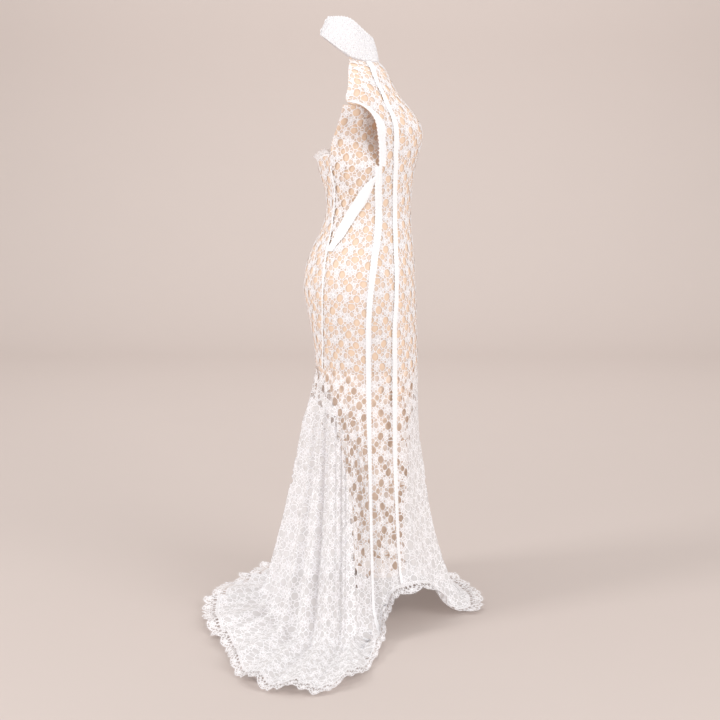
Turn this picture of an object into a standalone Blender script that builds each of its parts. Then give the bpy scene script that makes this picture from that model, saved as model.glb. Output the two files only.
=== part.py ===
"""A lace mermaid gown with a high collar, an open back and a train, standing as it is worn.

The gown is one worn surface. Its body is a stack of half ellipses, one row of SECTIONS for each height, and
below the knee each line of the cloth flares out to a foot on the floor and lies on from there to the hem,
as the rows of SKIRT give it. Every panel, lining and band is a wall made from points of that surface.
+X is the front, +Z is up, and the wearer's right is -Y. A turn is an angle round the gown from the front,
through the wearer's right, in degrees. A course is a height over the floor, and below zero it is a
distance along the floor, away from the foot. The origin is the middle of the neck, where the wearer
holds the gown up.
"""
import math

import bpy
import numpy as np

MM = 0.001

# Cloth and seams
LACE = 1.2 * MM
LINING = 1.0 * MM
BAND = 1.0 * MM
COLLAR = 1.8 * MM
SEAM_GAP = 0.3 * MM
LAYER_GAP = 0.3 * MM
LINING_GAP = 0.7 * MM
WING_LINING_GAP = 2.4 * MM

# Heights over the floor
CENTRE_BACK_TOP = 1.206
BACK_DIP = 0.020
KNEE = 0.660
FIRST_LOW_COURSE = 0.120
SHOULDER_TIP = 1.337
UNDERARM = 1.180
DIAGONAL_TIP = 0.965

# Widths of what is sewn on
SIDE_BAND_WIDTH = 20 * MM
PRINCESS_BAND_WIDTH = 15 * MM
DIAGONAL_BAND_WIDTH = 34 * MM
ARMHOLE_BAND_WIDTH = 18 * MM
BACK_SEAM_WIDTH = 6 * MM
BORDER_HEIGHT = 48 * MM
SCALLOP_DEPTH = 13 * MM
BORDER_GAP = 0.5 * MM
SCALLOP_COLUMNS = 3

# The most of the cloth between two seams that a band's edge column, or the diagonal band, may take up
EDGE_SHARE = 0.4
DIAGONAL_SHARE = 0.38

# How much of the last space a band runs down before the hem border
BAND_END_SHARE = 0.9

# The narrowest edge columns of the upper back panel, and the widest of any panel at its hem
WING_EDGE_COLUMN = 4 * MM
WING_BACK_COLUMN = 3 * MM
WIDEST_EDGE_COLUMN = 12 * MM

# The cut-through gaps of the lace
GAP_WIDTH = 16 * MM
GAP_HEIGHT = 20 * MM
SMALLEST_CUT_CELL = 27 * MM

# The collar
COLLAR_REACH = (0.074, 0.062)
COLLAR_TOP_REACH = (0.0555, 0.050)
COLLAR_MIDDLE = -0.053
COLLAR_TOP_MIDDLE = -0.050
COLLAR_SCALLOP = 2.5 * MM
COLLAR_BULGE = 2 * MM
COLLAR_BACK_OPENING = 1.5
BUTTON_RADIUS = 5.5 * MM
BUTTON_SIDES = 12
# Each ring of a button: its share of the radius, and how far it stands off the collar
BUTTON_RINGS = ((0.9, 0.6 * MM), (1.0, 2.2 * MM), (0.6, 4.0 * MM))

# How the cloth bends where it meets the floor, and how deep the train's folds are
FOOT_BEND = 0.034
BEND_START = 0.20
FOLD_DEPTH = 0.030
TRAIN_RIPPLE = 0.017
FOLD_GROWTH = 1.4
LYING_FROM = 0.12
SLIT_DEPTH = 0.048

# Small steps of turn and course, from which the surface's direction and spread are taken
TURN_STEP = 0.4
COURSE_STEP = 0.004

HOLD = np.array((COLLAR_MIDDLE, 0.0, 1.475))

WHITE = (0.92, 0.91, 0.92)
BAND_WHITE = (0.95, 0.945, 0.95)
NUDE = (0.80, 0.60, 0.45)


class Table:
    """A short table with named columns, read between its rows along a smooth curve."""

    def __init__(self, columns, rows, period=None):
        names = columns.split()
        data = np.array(rows, float)
        data = data[np.argsort(data[:, 0])]
        if period:
            data = np.vstack([data[-2:], data, data[:2]])
            data[:2, 0] -= period
            data[-2:, 0] += period
        self.period = period
        self.keys = data[:, 0]
        self.columns = {name: data[:, i] for i, name in enumerate(names)}
        self.slopes = {name: np.gradient(values, self.keys) for name, values in self.columns.items()}

    def at(self, name, key):
        key = np.asarray(key, float)
        if self.period:
            key = np.mod(key, self.period)
        keys, values, slope = self.keys, self.columns[name], self.slopes[name]
        i = np.clip(np.searchsorted(keys, key) - 1, 0, len(keys) - 2)
        span = keys[i + 1] - keys[i]
        f = np.clip((key - keys[i]) / span, 0, 1)
        start = (1 + 2 * f) * (1 - f) ** 2 * values[i] + f * (1 - f) ** 2 * span * slope[i]
        end = f ** 2 * (3 - 2 * f) * values[i + 1] + f ** 2 * (f - 1) * span * slope[i + 1]
        return start + end


SECTIONS = Table("height front middle back half_width", (
    (1.560, 0.021, -0.053, -0.127, 0.062),
    (1.440, 0.021, -0.053, -0.127, 0.062),
    (1.428, 0.034, -0.054, -0.130, 0.090),
    (1.405, 0.048, -0.055, -0.132, 0.124),
    (1.375, 0.062, -0.055, -0.134, 0.151),
    (1.337, 0.089, -0.059, -0.136, 0.166),
    (1.305, 0.116, -0.036, -0.137, 0.166),
    (1.275, 0.132, -0.018, -0.136, 0.159),
    (1.245, 0.134, -0.009, -0.135, 0.151),
    (1.200, 0.123, -0.005, -0.137, 0.144),
    (1.160, 0.1135, -0.005, -0.131, 0.138),
    (1.110, 0.108, -0.004, -0.116, 0.129),
    (1.060, 0.1055, -0.004, -0.1135, 0.123),
    (1.010, 0.108, -0.007, -0.128, 0.134),
    (0.960, 0.1135, -0.012, -0.153, 0.154),
    (0.910, 0.117, -0.017, -0.168, 0.171),
    (0.860, 0.1195, -0.019, -0.1727, 0.178),
    (0.800, 0.122, -0.017, -0.163, 0.176),
    (0.730, 0.124, -0.012, -0.150, 0.167),
    (0.660, 0.126, -0.009, -0.1426, 0.158),
))

# Where each seam runs, by its height and how far forward it lies
PRINCESS = Table("height forward", (
    (1.450, -0.0106), (1.417, 0.0026), (1.385, 0.0185), (1.344, 0.037), (1.309, 0.053), (1.286, 0.061),
    (1.227, 0.0634), (1.089, 0.061), (0.985, 0.0634), (0.873, 0.066), (0.775, 0.061), (0.660, 0.062),
))
SIDE = Table("height forward", (
    (1.200, 0.021), (1.089, 0.0198), (1.037, 0.021), (0.972, 0.0132), (0.907, 0.005), (0.828, -0.0026),
    (0.723, -0.005), (0.660, -0.004),
))
SIDE_BACK = Table("height forward", (
    (1.223, -0.103), (1.184, -0.1003), (1.135, -0.0924), (1.086, -0.090), (1.050, -0.095), (1.019, -0.0987),
    (0.954, -0.112), (0.873, -0.120), (0.775, -0.1214), (0.660, -0.1214),
))
DIAGONAL = Table("height forward", (
    (1.166, 0.021), (1.114, -0.0106), (1.058, -0.0475), (1.006, -0.079), (0.970, -0.1056), (0.954, -0.112),
))
ARMHOLE = Table("height forward", (
    (1.337, -0.056), (1.331, -0.030), (1.307, 0.0026), (1.275, 0.0145), (1.235, 0.020), (1.180, 0.021),
))
WING_EDGE = Table("height forward", (
    (1.331, -0.068), (1.294, -0.077), (1.260, -0.090), (1.223, -0.103),
))
COLLAR_FOOT = Table("forward height", (
    (-0.127, 1.508), (-0.0766, 1.470), (-0.055, 1.455), (-0.026, 1.445), (0.021, 1.440),
))
COLLAR_TOP = Table("forward height", (
    (-0.1056, 1.553), (-0.0475, 1.545), (-0.0106, 1.513), (0.0055, 1.500),
))

# The skirt by turn: where the cloth's foot is, where its hem is, how high the hem hangs, how late it flares
# and how deep its folds are beside the deepest
SKIRT = Table("turn foot_x foot_y hem_x hem_y hem_z flare fold", (
    (0, 0.238, 0.000, 0.306, -0.015, 0.000, 2.8, 0.60),
    (12, 0.230, -0.045, 0.296, -0.070, 0.000, 2.8, 0.60),
    (24, 0.205, -0.085, 0.232, -0.100, 0.012, 2.7, 0.50),
    (36, 0.172, -0.125, 0.187, -0.140, 0.075, 2.5, 0.40),
    (48, 0.125, -0.170, 0.137, -0.186, 0.092, 2.3, 0.40),
    (60, 0.078, -0.205, 0.087, -0.225, 0.095, 2.2, 0.40),
    (72, 0.048, -0.228, 0.058, -0.252, 0.080, 2.1, 0.40),
    (84, 0.026, -0.248, 0.044, -0.286, 0.034, 2.0, 0.35),
    (94, -0.004, -0.277, 0.028, -0.385, 0.004, 1.9, 0.45),
    (104, -0.034, -0.318, -0.022, -0.555, 0.000, 1.8, 0.80),
    (115, -0.068, -0.340, -0.098, -0.656, 0.000, 1.7, 1.00),
    (126, -0.105, -0.342, -0.180, -0.672, 0.000, 1.6, 1.00),
    (136, -0.145, -0.325, -0.245, -0.645, 0.000, 1.6, 1.00),
    (145, -0.178, -0.295, -0.298, -0.585, 0.000, 1.5, 1.00),
    (152, -0.204, -0.250, -0.336, -0.500, 0.000, 1.5, 0.95),
    (159, -0.226, -0.195, -0.352, -0.405, 0.000, 1.4, 0.90),
    (166, -0.246, -0.130, -0.392, -0.300, 0.000, 1.4, 0.90),
    (174, -0.262, -0.055, -0.432, -0.170, 0.000, 1.4, 0.90),
    (182, -0.270, 0.020, -0.446, -0.050, 0.000, 1.4, 0.85),
    (194, -0.258, 0.105, -0.425, 0.080, 0.000, 1.4, 0.85),
    (208, -0.225, 0.175, -0.370, 0.200, 0.000, 1.5, 0.90),
    (224, -0.180, 0.225, -0.305, 0.325, 0.000, 1.6, 0.95),
    (240, -0.118, 0.255, -0.215, 0.420, 0.000, 1.7, 0.95),
    (256, -0.050, 0.262, -0.110, 0.450, 0.000, 1.8, 0.90),
    (272, 0.018, 0.252, 0.000, 0.430, 0.000, 2.0, 0.70),
    (288, 0.055, 0.232, 0.090, 0.370, 0.000, 2.2, 0.60),
    (304, 0.098, 0.205, 0.180, 0.310, 0.000, 2.4, 0.60),
    (320, 0.160, 0.155, 0.262, 0.225, 0.000, 2.6, 0.60),
    (340, 0.220, 0.080, 0.300, 0.110, 0.000, 2.8, 0.60),
), period=360)

# The folds between two seams of the skirt: how many, and how unevenly spaced
FOLDS = {
    "centre_front": (3, 0.10),
    "side_front_right": (2, 0.06),
    "side_back_right": (4, 0.05),
    "godet_right": (3, -0.05),
    "godet_left": (3, 0.05),
    "side_back_left": (4, -0.05),
    "side_front_left": (2, 0.06),
}

# The inner slip below the knee: its own sections, from just under the lining's edge to a slim hem
SLIP = (
    (0.6595, 0.1236, -0.009, -0.1402, 0.1556),
    (0.560, 0.112, 0.005, -0.098, 0.144),
    (0.450, 0.105, 0.010, -0.080, 0.132),
    (0.300, 0.100, 0.020, -0.056, 0.122),
    (0.110, 0.096, 0.026, -0.042, 0.116),
)
SLIP_COLUMNS = 12
SLIP_SEAM = 0.2

# How many columns a panel has between its seams, on the body and below the knee
BODY_COLUMNS = {"centre_front": 6, "side_front": 3, "side_back": 4, "upper_back": 3, "centre_back": 6}
SKIRT_COLUMNS = {"centre_front": 12, "side_front": 6, "side_back": 16, "godet": 12}

BODY_COURSES = (1.395, 1.350, 1.305, 1.265, 1.225, UNDERARM, 1.142, 1.110, 1.062, 1.012, DIAGONAL_TIP,
                0.905, 0.845, 0.785, 0.723, KNEE)
SKIRT_COURSES = (0.570, 0.475, 0.380, 0.285, 0.195, FIRST_LOW_COURSE)
LOW_STEPS = (0.20, 0.38, 0.56, 0.78, 1.0)


def body(turn, height):
    """The worn surface of the bodice and hips."""
    angle = np.radians(turn)
    forward, side = np.cos(angle), np.sin(angle)
    middle = SECTIONS.at("middle", height)
    reach = np.where(forward > 0, SECTIONS.at("front", height) - middle, middle - SECTIONS.at("back", height))
    return np.stack([middle + reach * forward, -SECTIONS.at("half_width", height) * side,
                     height + 0 * forward], axis=-1)


def train_length(turn):
    run = [SKIRT.at("hem_" + axis, turn) - SKIRT.at("foot_" + axis, turn) for axis in "xy"]
    return np.hypot(*run)


def skirt_line(turn, course):
    """A line of the skirt: down from the knee to its foot, then straight on along the floor."""
    knee = body(turn, KNEE)
    foot = np.stack([SKIRT.at("foot_x", turn), SKIRT.at("foot_y", turn), SKIRT.at("hem_z", turn)], axis=-1)
    hem = np.stack([SKIRT.at("hem_x", turn), SKIRT.at("hem_y", turn), SKIRT.at("hem_z", turn)], axis=-1)
    fall = np.clip(1 - course / KNEE, 0, 1)
    reach = fall ** SKIRT.at("flare", turn)
    standing = knee + (foot - knee) * reach[..., None]
    standing[..., 2] = knee[..., 2] + (foot[..., 2] - knee[..., 2]) * fall
    along = np.maximum(-course, 0) / train_length(turn)
    return standing + (hem - foot) * along[..., None]


def carrier(turn, course):
    """The gown's surface without its folds, softly bent where the cloth meets the floor."""
    turn, course = np.broadcast_arrays(np.asarray(turn, float), np.asarray(course, float))
    if np.all(course >= KNEE):
        return body(turn, course)
    if np.all(course >= BEND_START):
        skirt = skirt_line(turn, np.minimum(course, KNEE))
    else:
        bend = FOOT_BEND * np.clip((BEND_START - course) / BEND_START * 2, 0, 1)
        skirt = sum(skirt_line(turn, course + bend * step) for step in (-1, -0.5, 0, 0.5, 1)) / 5
    return np.where((course >= KNEE)[..., None], body(turn, np.maximum(course, KNEE)), skirt)


def normals_of(surface, turn, course):
    """Unit vectors out of a surface, from how it runs along a course and down a turn."""
    across = surface(turn + TURN_STEP, course) - surface(turn - TURN_STEP, course)
    down = surface(turn, course - COURSE_STEP) - surface(turn, course + COURSE_STEP)
    out = np.cross(across, down)
    return out / np.linalg.norm(out, axis=-1, keepdims=True)


def seam_turn(seam, height, left=False):
    """The turn at which a seam lies at a height, from how far forward it is there."""
    forward = seam.at("forward", height)
    middle = SECTIONS.at("middle", height)
    reach = np.where(forward > middle, SECTIONS.at("front", height) - middle,
                     middle - SECTIONS.at("back", height))
    turn = np.degrees(np.arccos(np.clip((forward - middle) / reach, -1, 1)))
    return 360 - turn if left else turn


PRINCESS_TURN = float(seam_turn(PRINCESS, KNEE))
SIDE_TURN = float(seam_turn(SIDE, KNEE))
SIDE_BACK_TURN = float(seam_turn(SIDE_BACK, KNEE))
SKIRT_SEAMS = {
    "centre_front": (-PRINCESS_TURN, PRINCESS_TURN),
    "side_front_right": (PRINCESS_TURN, SIDE_TURN),
    "side_back_right": (SIDE_TURN, SIDE_BACK_TURN),
    "godet_right": (SIDE_BACK_TURN, 180),
    "godet_left": (180, 360 - SIDE_BACK_TURN),
    "side_back_left": (360 - SIDE_BACK_TURN, 360 - SIDE_TURN),
    "side_front_left": (360 - SIDE_TURN, 360 - PRINCESS_TURN),
}


def fold_wave(turn):
    """The folds round the skirt, 0 in a trough and 1 on a crest, times their depth beside the deepest."""
    turn = np.mod(turn + PRINCESS_TURN, 360) - PRINCESS_TURN
    wave = np.zeros_like(turn)
    for panel, (start, end) in SKIRT_SEAMS.items():
        count, skew = FOLDS[panel]
        f = (turn - start) / (end - start)
        inside = (f >= 0) & (f <= 1)
        phase = count * (f + skew * np.sin(2 * math.pi * f))
        wave = np.where(inside, (1 - np.cos(2 * math.pi * phase)) / 2, wave)
    return wave * SKIRT.at("fold", turn)


def gown(turn, course):
    """The worn surface with its folds, which deepen on the way down and only rise off the floor."""
    turn, course = np.broadcast_arrays(np.asarray(turn, float), np.asarray(course, float))
    base = carrier(turn, course)
    if np.all(course >= KNEE):
        return base
    fall = np.clip(1 - course / KNEE, 0, 1)
    lying = np.clip(0.5 - course / LYING_FROM, 0, 1)
    depth = FOLD_DEPTH * (1 - lying) + TRAIN_RIPPLE * lying
    rise = depth * fall ** FOLD_GROWTH * (fold_wave(turn) - 0.5 * (1 - lying))
    return base + normals_of(carrier, turn, course) * rise[..., None]


def wing(turn, height):
    """The upper side-back panel on the right, drawn inboard of the armhole band to leave the armhole's slit."""
    turn, height = np.broadcast_arrays(np.asarray(turn, float), np.asarray(height, float))
    point = body(turn, height)
    f = np.clip((height - UNDERARM) / (SHOULDER_TIP - UNDERARM), 0, 1)
    front, back = seam_turn(ARMHOLE, height), seam_turn(WING_EDGE, height)
    inboard = SLIT_DEPTH * np.sin(math.pi * f) * np.clip((back - turn) / (back - front), 0, 1.2)
    point[..., 1] *= 1 - inboard / SECTIONS.at("half_width", height)
    return point


def spread(surface, turn, course):
    """Metres of cloth for each degree of turn."""
    half = TURN_STEP / 2
    return np.linalg.norm(surface(turn + half, course) - surface(turn - half, course), axis=-1) / TURN_STEP


class Row:
    """One row of a panel's points: a turn and a course for each column, and the level that neighbours share."""

    def __init__(self, turns, courses, level=None):
        self.turns = np.asarray(turns, float)
        self.courses = np.asarray(courses, float)
        self.level = float(self.courses[0]) if level is None else level


def row_between(surface, start, end, columns, bands=(0, 0), gaps=(SEAM_GAP / 2, SEAM_GAP / 2)):
    """A row from one seam point to the next, with a column at the edge of each band that covers a seam."""
    (turn_a, course_a), (turn_b, course_b) = start, end
    scale_a = float(spread(surface, turn_a, course_a))
    scale_b = float(spread(surface, turn_b, course_b))
    length = (turn_b - turn_a) * (scale_a + scale_b) / 2
    widths = [min(width, EDGE_SHARE * length) for width in bands]
    f_a, f_b = gaps[0] / scale_a / (turn_b - turn_a), 1 - gaps[1] / scale_b / (turn_b - turn_a)
    inner_a = widths[0] / scale_a / (turn_b - turn_a) if widths[0] else f_a
    inner_b = 1 - widths[1] / scale_b / (turn_b - turn_a) if widths[1] else f_b
    inner = np.linspace(inner_a, inner_b, columns + 1)
    parts = ([f_a] if widths[0] else []) + list(inner) + ([f_b] if widths[1] else [])
    f = np.array(parts)
    return Row(turn_a + (turn_b - turn_a) * f, course_a + (course_b - course_a) * f)


def skirt_rows(panel, bands):
    """The rows of a panel from under the knee to its hem, where the border begins."""
    start, end = SKIRT_SEAMS[panel]
    columns = [count for name, count in SKIRT_COLUMNS.items() if panel.startswith(name)][0]
    rows = [row_between(carrier, (start, course), (end, course), columns, bands) for course in SKIRT_COURSES]
    for step in LOW_STEPS:
        ends = [(turn, float(low_course(turn, step))) for turn in (start, end)]
        row = row_between(carrier, ends[0], ends[1], columns, bands)
        rows.append(Row(row.turns, low_course(row.turns, step), -step))
    return rows


def low_course(turn, step):
    """A course between the lowest level one, at step 0, and the panels' hem, at step 1."""
    panel_hem = BORDER_HEIGHT - train_length(turn)
    return FIRST_LOW_COURSE + (panel_hem - FIRST_LOW_COURSE) * step


def wall_layers(surface, rows, inner, outer):
    """The inner and outer points of a wall whose faces stand off a surface by two distances."""
    layers = []
    for row in rows:
        points = surface(row.turns, row.courses)
        out = normals_of(surface, row.turns, row.courses)
        layers.append((points + out * inner, points + out * outer))
    return layers


class Wall:
    """A closed wall built from rows of inner and outer points."""

    def __init__(self):
        self.points = []
        self.faces = []

    def add_points(self, points):
        start = len(self.points)
        self.points.extend(map(tuple, points))
        return list(range(start, start + len(points)))

    def strip(self, upper, lower, flip):
        """Triangles between two rows of vertices, which may have different numbers of columns."""
        i, j = 0, 0
        while i < len(upper) - 1 or j < len(lower) - 1:
            next_i = (i + 1) / (len(upper) - 1) if i < len(upper) - 1 else 2
            next_j = (j + 1) / (len(lower) - 1) if j < len(lower) - 1 else 2
            if next_i <= next_j:
                self.face((upper[i], upper[i + 1], lower[j]), flip)
                i += 1
            else:
                self.face((upper[i], lower[j + 1], lower[j]), flip)
                j += 1

    def face(self, corners, flip):
        self.faces.append(tuple(reversed(corners)) if flip else tuple(corners))

    def gap(self, corners_in, corners_out, layers_in, layers_out):
        """One cell of the lace with a gap cut through its middle."""
        grid = [np.array(layer) for layer in (layers_in, layers_out)]
        width = np.linalg.norm(grid[1][1] - grid[1][0]), np.linalg.norm(grid[1][2] - grid[1][3])
        height = np.linalg.norm(grid[1][3] - grid[1][0]), np.linalg.norm(grid[1][2] - grid[1][1])
        across, down = GAP_WIDTH / np.mean(width) / 2, GAP_HEIGHT / np.mean(height) / 2
        rims = []
        for layer in grid:
            rim = []
            for u, v in ((0.5, 0.5 - down), (0.5 + across, 0.5), (0.5, 0.5 + down), (0.5 - across, 0.5)):
                top = layer[0] * (1 - u) + layer[1] * u
                bottom = layer[3] * (1 - u) + layer[2] * u
                rim.append(top * (1 - v) + bottom * v)
            rims.append(self.add_points(rim))
        for corners, rim, flip in ((corners_in, rims[0], True), (corners_out, rims[1], False)):
            for k in range(4):
                after = (k + 1) % 4
                self.face((corners[k], corners[after], rim[k]), flip)
                self.face((rim[k], corners[after], rim[after]), flip)
        for k in range(4):
            after = (k + 1) % 4
            self.face((rims[1][k], rims[1][after], rims[0][k]), False)
            self.face((rims[0][k], rims[1][after], rims[0][after]), False)


def is_cut(row, column, roomy):
    """Every second cell is cut where there is room, one row shifted against the next."""
    return roomy and (column + row) % 2 == 0


def build_wall(name, layers, look, cut=False):
    """Make an object from rows of inner and outer points."""
    wall = Wall()
    rows = [(wall.add_points(inner), wall.add_points(outer)) for inner, outer in layers]
    for r in range(len(rows) - 1):
        (in_a, out_a), (in_b, out_b) = rows[r], rows[r + 1]
        if len(in_a) != len(in_b):
            for part in (slice(0, 2), slice(1, -1), slice(-2, None)):
                wall.strip(out_a[part], out_b[part], False)
                wall.strip(in_a[part], in_b[part], True)
            continue
        for c in range(len(in_a) - 1):
            corner_in = [in_a[c], in_a[c + 1], in_b[c + 1], in_b[c]]
            corner_out = [out_a[c], out_a[c + 1], out_b[c + 1], out_b[c]]
            points_in = [wall.points[k] for k in corner_in]
            points_out = [wall.points[k] for k in corner_out]
            sides = [np.linalg.norm(np.subtract(points_out[k], points_out[(k + 1) % 4])) for k in range(4)]
            roomy = min(sides) > SMALLEST_CUT_CELL and 0 < c < len(in_a) - 2
            if cut and is_cut(r, c, roomy):
                wall.gap(corner_in, corner_out, points_in, points_out)
            else:
                wall.strip(out_a[c:c + 2], out_b[c:c + 2], False)
                wall.strip(in_a[c:c + 2], in_b[c:c + 2], True)
    wall.strip(rows[0][0], rows[0][1], False)
    wall.strip(rows[-1][1], rows[-1][0], False)
    wall.strip([row[1][0] for row in rows], [row[0][0] for row in rows], False)
    wall.strip([row[0][-1] for row in rows], [row[1][-1] for row in rows], False)
    return make_object(name, wall.points, wall.faces, look)


def make_object(name, points, faces, look):
    """A mesh object with its faces turned outwards, placed in the gown's own frame."""
    points = np.array(points) - HOLD
    corners = [points[[face[k] for face in faces]] for k in range(3)]
    volume = np.einsum("ij,ij->i", corners[0], np.cross(corners[1], corners[2])).sum()
    if volume < 0:
        faces = [tuple(reversed(face)) for face in faces]
    mesh = bpy.data.meshes.new(name)
    mesh.from_pydata([tuple(point) for point in points], [], faces)
    mesh.validate()
    mesh.materials.append(look)
    piece = bpy.data.objects.new(name, mesh)
    bpy.context.collection.objects.link(piece)
    return piece


def make_look(name, colour, roughness):
    look = bpy.data.materials.new(name)
    look.use_nodes = True
    shader = look.node_tree.nodes["Principled BSDF"]
    shader.inputs["Base Color"].default_value = (*colour, 1)
    shader.inputs["Roughness"].default_value = roughness
    return look


def collar_foot(turn):
    """The collar's lower rim, which is also the bodice's neckline."""
    forward = COLLAR_MIDDLE + COLLAR_REACH[0] * np.cos(np.radians(turn))
    return COLLAR_FOOT.at("height", forward)


def neckline(turn):
    """The panels' top edge, low enough for their thickness where the shoulder slopes away."""
    return collar_foot(turn) - SEAM_GAP - LACE


def on_seam(seam, height, left=False):
    return float(seam_turn(seam, height, left)), float(height)


YOKE_BACK_COURSES = (1.390, SHOULDER_TIP + 3 * MM)
ARMHOLE_COURSES = (1.328, 1.300, 1.255, UNDERARM)


def yoke_edge():
    """The free edge of the side-front panel, from the collar over the shoulder and round the armhole."""
    back_edge = [(90.0, float(neckline(90)))] + [(90.0, height) for height in YOKE_BACK_COURSES]
    return back_edge + [on_seam(ARMHOLE, height) for height in ARMHOLE_COURSES]


def mirror(rows):
    """The same rows on the wearer's left, in the order of rising turn."""
    return [Row((360 - row.turns)[::-1], row.courses[::-1], row.level) for row in rows]


def princess_points():
    """The princess seam from the collar to the knee: one point for each row of the panels beside it."""
    top_turn = float(seam_turn(PRINCESS, PRINCESS.keys[-1]))
    return [(top_turn, float(neckline(top_turn)))] + [on_seam(PRINCESS, height) for height in BODY_COURSES]


def centre_front_rows():
    half = PRINCESS_BAND_WIDTH / 2
    columns = BODY_COLUMNS["centre_front"]
    rows = [row_between(gown, (-turn, height), (turn, height), columns, (half, half))
            for turn, height in princess_points()]
    rows[0].courses = neckline(rows[0].turns)
    return rows + skirt_rows("centre_front", (half, half))


ARMHOLE_START = 2


def side_front_body():
    half = PRINCESS_BAND_WIDTH / 2
    seam = princess_points()
    edge = yoke_edge()
    columns = BODY_COLUMNS["side_front"]
    rows = []
    for i, start in enumerate(seam):
        if i < len(edge):
            width = ARMHOLE_BAND_WIDTH if i >= ARMHOLE_START else 0
            rows.append(row_between(gown, start, edge[i], columns, (half, width), (SEAM_GAP / 2, 0)))
            if not width:
                add_edge_column(rows[-1], ARMHOLE_BAND_WIDTH)
        else:
            end = on_seam(SIDE, start[1])
            rows.append(row_between(gown, start, end, columns, (half, SIDE_BAND_WIDTH / 2)))
    rows[0].courses = neckline(rows[0].turns)
    return rows


def add_edge_column(row, width):
    """Give a row with no band at its end the same number of columns as the rows that have one."""
    scale = float(spread(gown, row.turns[-1], row.courses[-1]))
    f = 1 - width / scale / (row.turns[-1] - row.turns[0])
    last = row.turns[0] + (row.turns[-1] - row.turns[0]) * f
    inner = np.linspace(row.turns[1], last, BODY_COLUMNS["side_front"] + 1)
    turns = np.concatenate([row.turns[:1], inner, row.turns[-1:]])
    row.courses = np.interp(turns, row.turns, row.courses)
    row.turns = turns


def side_front_rows(side):
    rows = side_front_body()
    bands = (PRINCESS_BAND_WIDTH / 2, SIDE_BAND_WIDTH / 2)
    if side == "left":
        return mirror(rows) + skirt_rows("side_front_left", bands[::-1])
    return rows + skirt_rows("side_front_right", bands)


def diagonal_half_width(height):
    """Half the diagonal band measured along a course, as the band runs aslant."""
    slope = (DIAGONAL.at("forward", height + 0.01) - DIAGONAL.at("forward", height - 0.01)) / 0.02
    return float(DIAGONAL_BAND_WIDTH / 2 * np.hypot(1, slope))


def diagonal_widths(height):
    """The diagonal band's reach to its front and back sides, less where the seams close in on it."""
    to_side = room(DIAGONAL, SIDE, height)
    to_back = room(SIDE_BACK, DIAGONAL, height)
    half = diagonal_half_width(height)
    front = min(half, DIAGONAL_SHARE * to_side, to_side - SIDE_BAND_WIDTH / 2 - LAYER_GAP)
    back = min(half, DIAGONAL_SHARE * to_back, to_back - BACK_SEAM_WIDTH / 2 - LAYER_GAP)
    return max(front, MM), max(back, MM)


def room(back_seam, front_seam, height):
    """The cloth between two seams at a height."""
    turns = [float(seam_turn(seam, height)) for seam in (back_seam, front_seam)]
    return abs(turns[0] - turns[1]) * float(spread(gown, sum(turns) / 2, height))


def side_back_body():
    """The lower side-back panel, from its tip under the arm to the knee."""
    rows = []
    for height in [course for course in BODY_COURSES if course < UNDERARM]:
        above = height >= DIAGONAL_TIP
        seam = DIAGONAL if above else SIDE_BACK
        width = diagonal_widths(height)[0] if above else BACK_SEAM_WIDTH / 2
        rows.append(row_between(gown, on_seam(SIDE, height), on_seam(seam, height), BODY_COLUMNS["side_back"],
                                (SIDE_BAND_WIDTH / 2, width)))
    return rows


def side_back_rows(side):
    rows = side_back_body()
    bands = (SIDE_BAND_WIDTH / 2, BACK_SEAM_WIDTH / 2)
    if side == "left":
        return mirror(rows) + skirt_rows("side_back_left", bands[::-1])
    return rows + skirt_rows("side_back_right", bands)


WING_TOP_COURSES = (1.330, 1.305, 1.270, 1.238, CENTRE_BACK_TOP, UNDERARM)
WING_INSET = 6 * MM


def wing_rows():
    """The upper side-back panel, from the shoulder tip down to where the diagonal meets the side-back seam."""
    rows = []
    for height in WING_TOP_COURSES + tuple(c for c in BODY_COURSES if DIAGONAL_TIP <= c < UNDERARM):
        if height >= UNDERARM:
            front = float(seam_turn(ARMHOLE, height))
            start = (front + WING_INSET / float(spread(wing, front, height)), height)
            width, gap = 0, 0
        else:
            start = on_seam(DIAGONAL, height)
            width, gap = diagonal_widths(height)[1], SEAM_GAP / 2
        if height > CENTRE_BACK_TOP:
            end, back_width, back_gap = on_seam(WING_EDGE, height), 0, 0
        else:
            end, back_width, back_gap = on_seam(SIDE_BACK, height), BACK_SEAM_WIDTH / 2, SEAM_GAP / 2
        edges = max(width, WING_EDGE_COLUMN), max(back_width, WING_BACK_COLUMN)
        rows.append(row_between(wing, start, end, BODY_COLUMNS["upper_back"], edges, (gap, back_gap)))
    return rows


def centre_back_rows():
    half = BACK_SEAM_WIDTH / 2
    rows = []
    for height in (CENTRE_BACK_TOP,) + tuple(c for c in BODY_COURSES if c <= UNDERARM):
        start = on_seam(SIDE_BACK, height)
        end = 360 - start[0], height
        rows.append(row_between(gown, start, end, BODY_COLUMNS["centre_back"], (half, half)))
    f = (rows[0].turns - rows[0].turns[0]) / (rows[0].turns[-1] - rows[0].turns[0])
    rows[0].courses = rows[0].courses - BACK_DIP * np.sin(math.pi * f) ** 2
    return rows


def godet_rows(panel):
    half = BACK_SEAM_WIDTH / 2
    bands = (half, 0) if panel == "godet_right" else (0, half)
    start, end = SKIRT_SEAMS[panel]
    top = KNEE - SEAM_GAP
    first = row_between(gown, (start, top), (end, top), SKIRT_COLUMNS["godet"], bands)
    return [first] + skirt_rows(panel, bands)


def mirrored_y(layers):
    """A wall's points on the other side of the gown, with its columns in the same order of rising turn."""
    flip = np.array((1.0, -1.0, 1.0))
    return [tuple((points * flip)[::-1] for points in layer) for layer in layers]


def add_pair(name, layers, look, cut=False):
    """A piece on the wearer's right and its mirror image on the left."""
    build_wall(name + "_right", layers, look, cut=cut)
    build_wall(name + "_left", mirrored_y(layers), look, cut=cut)


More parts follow.
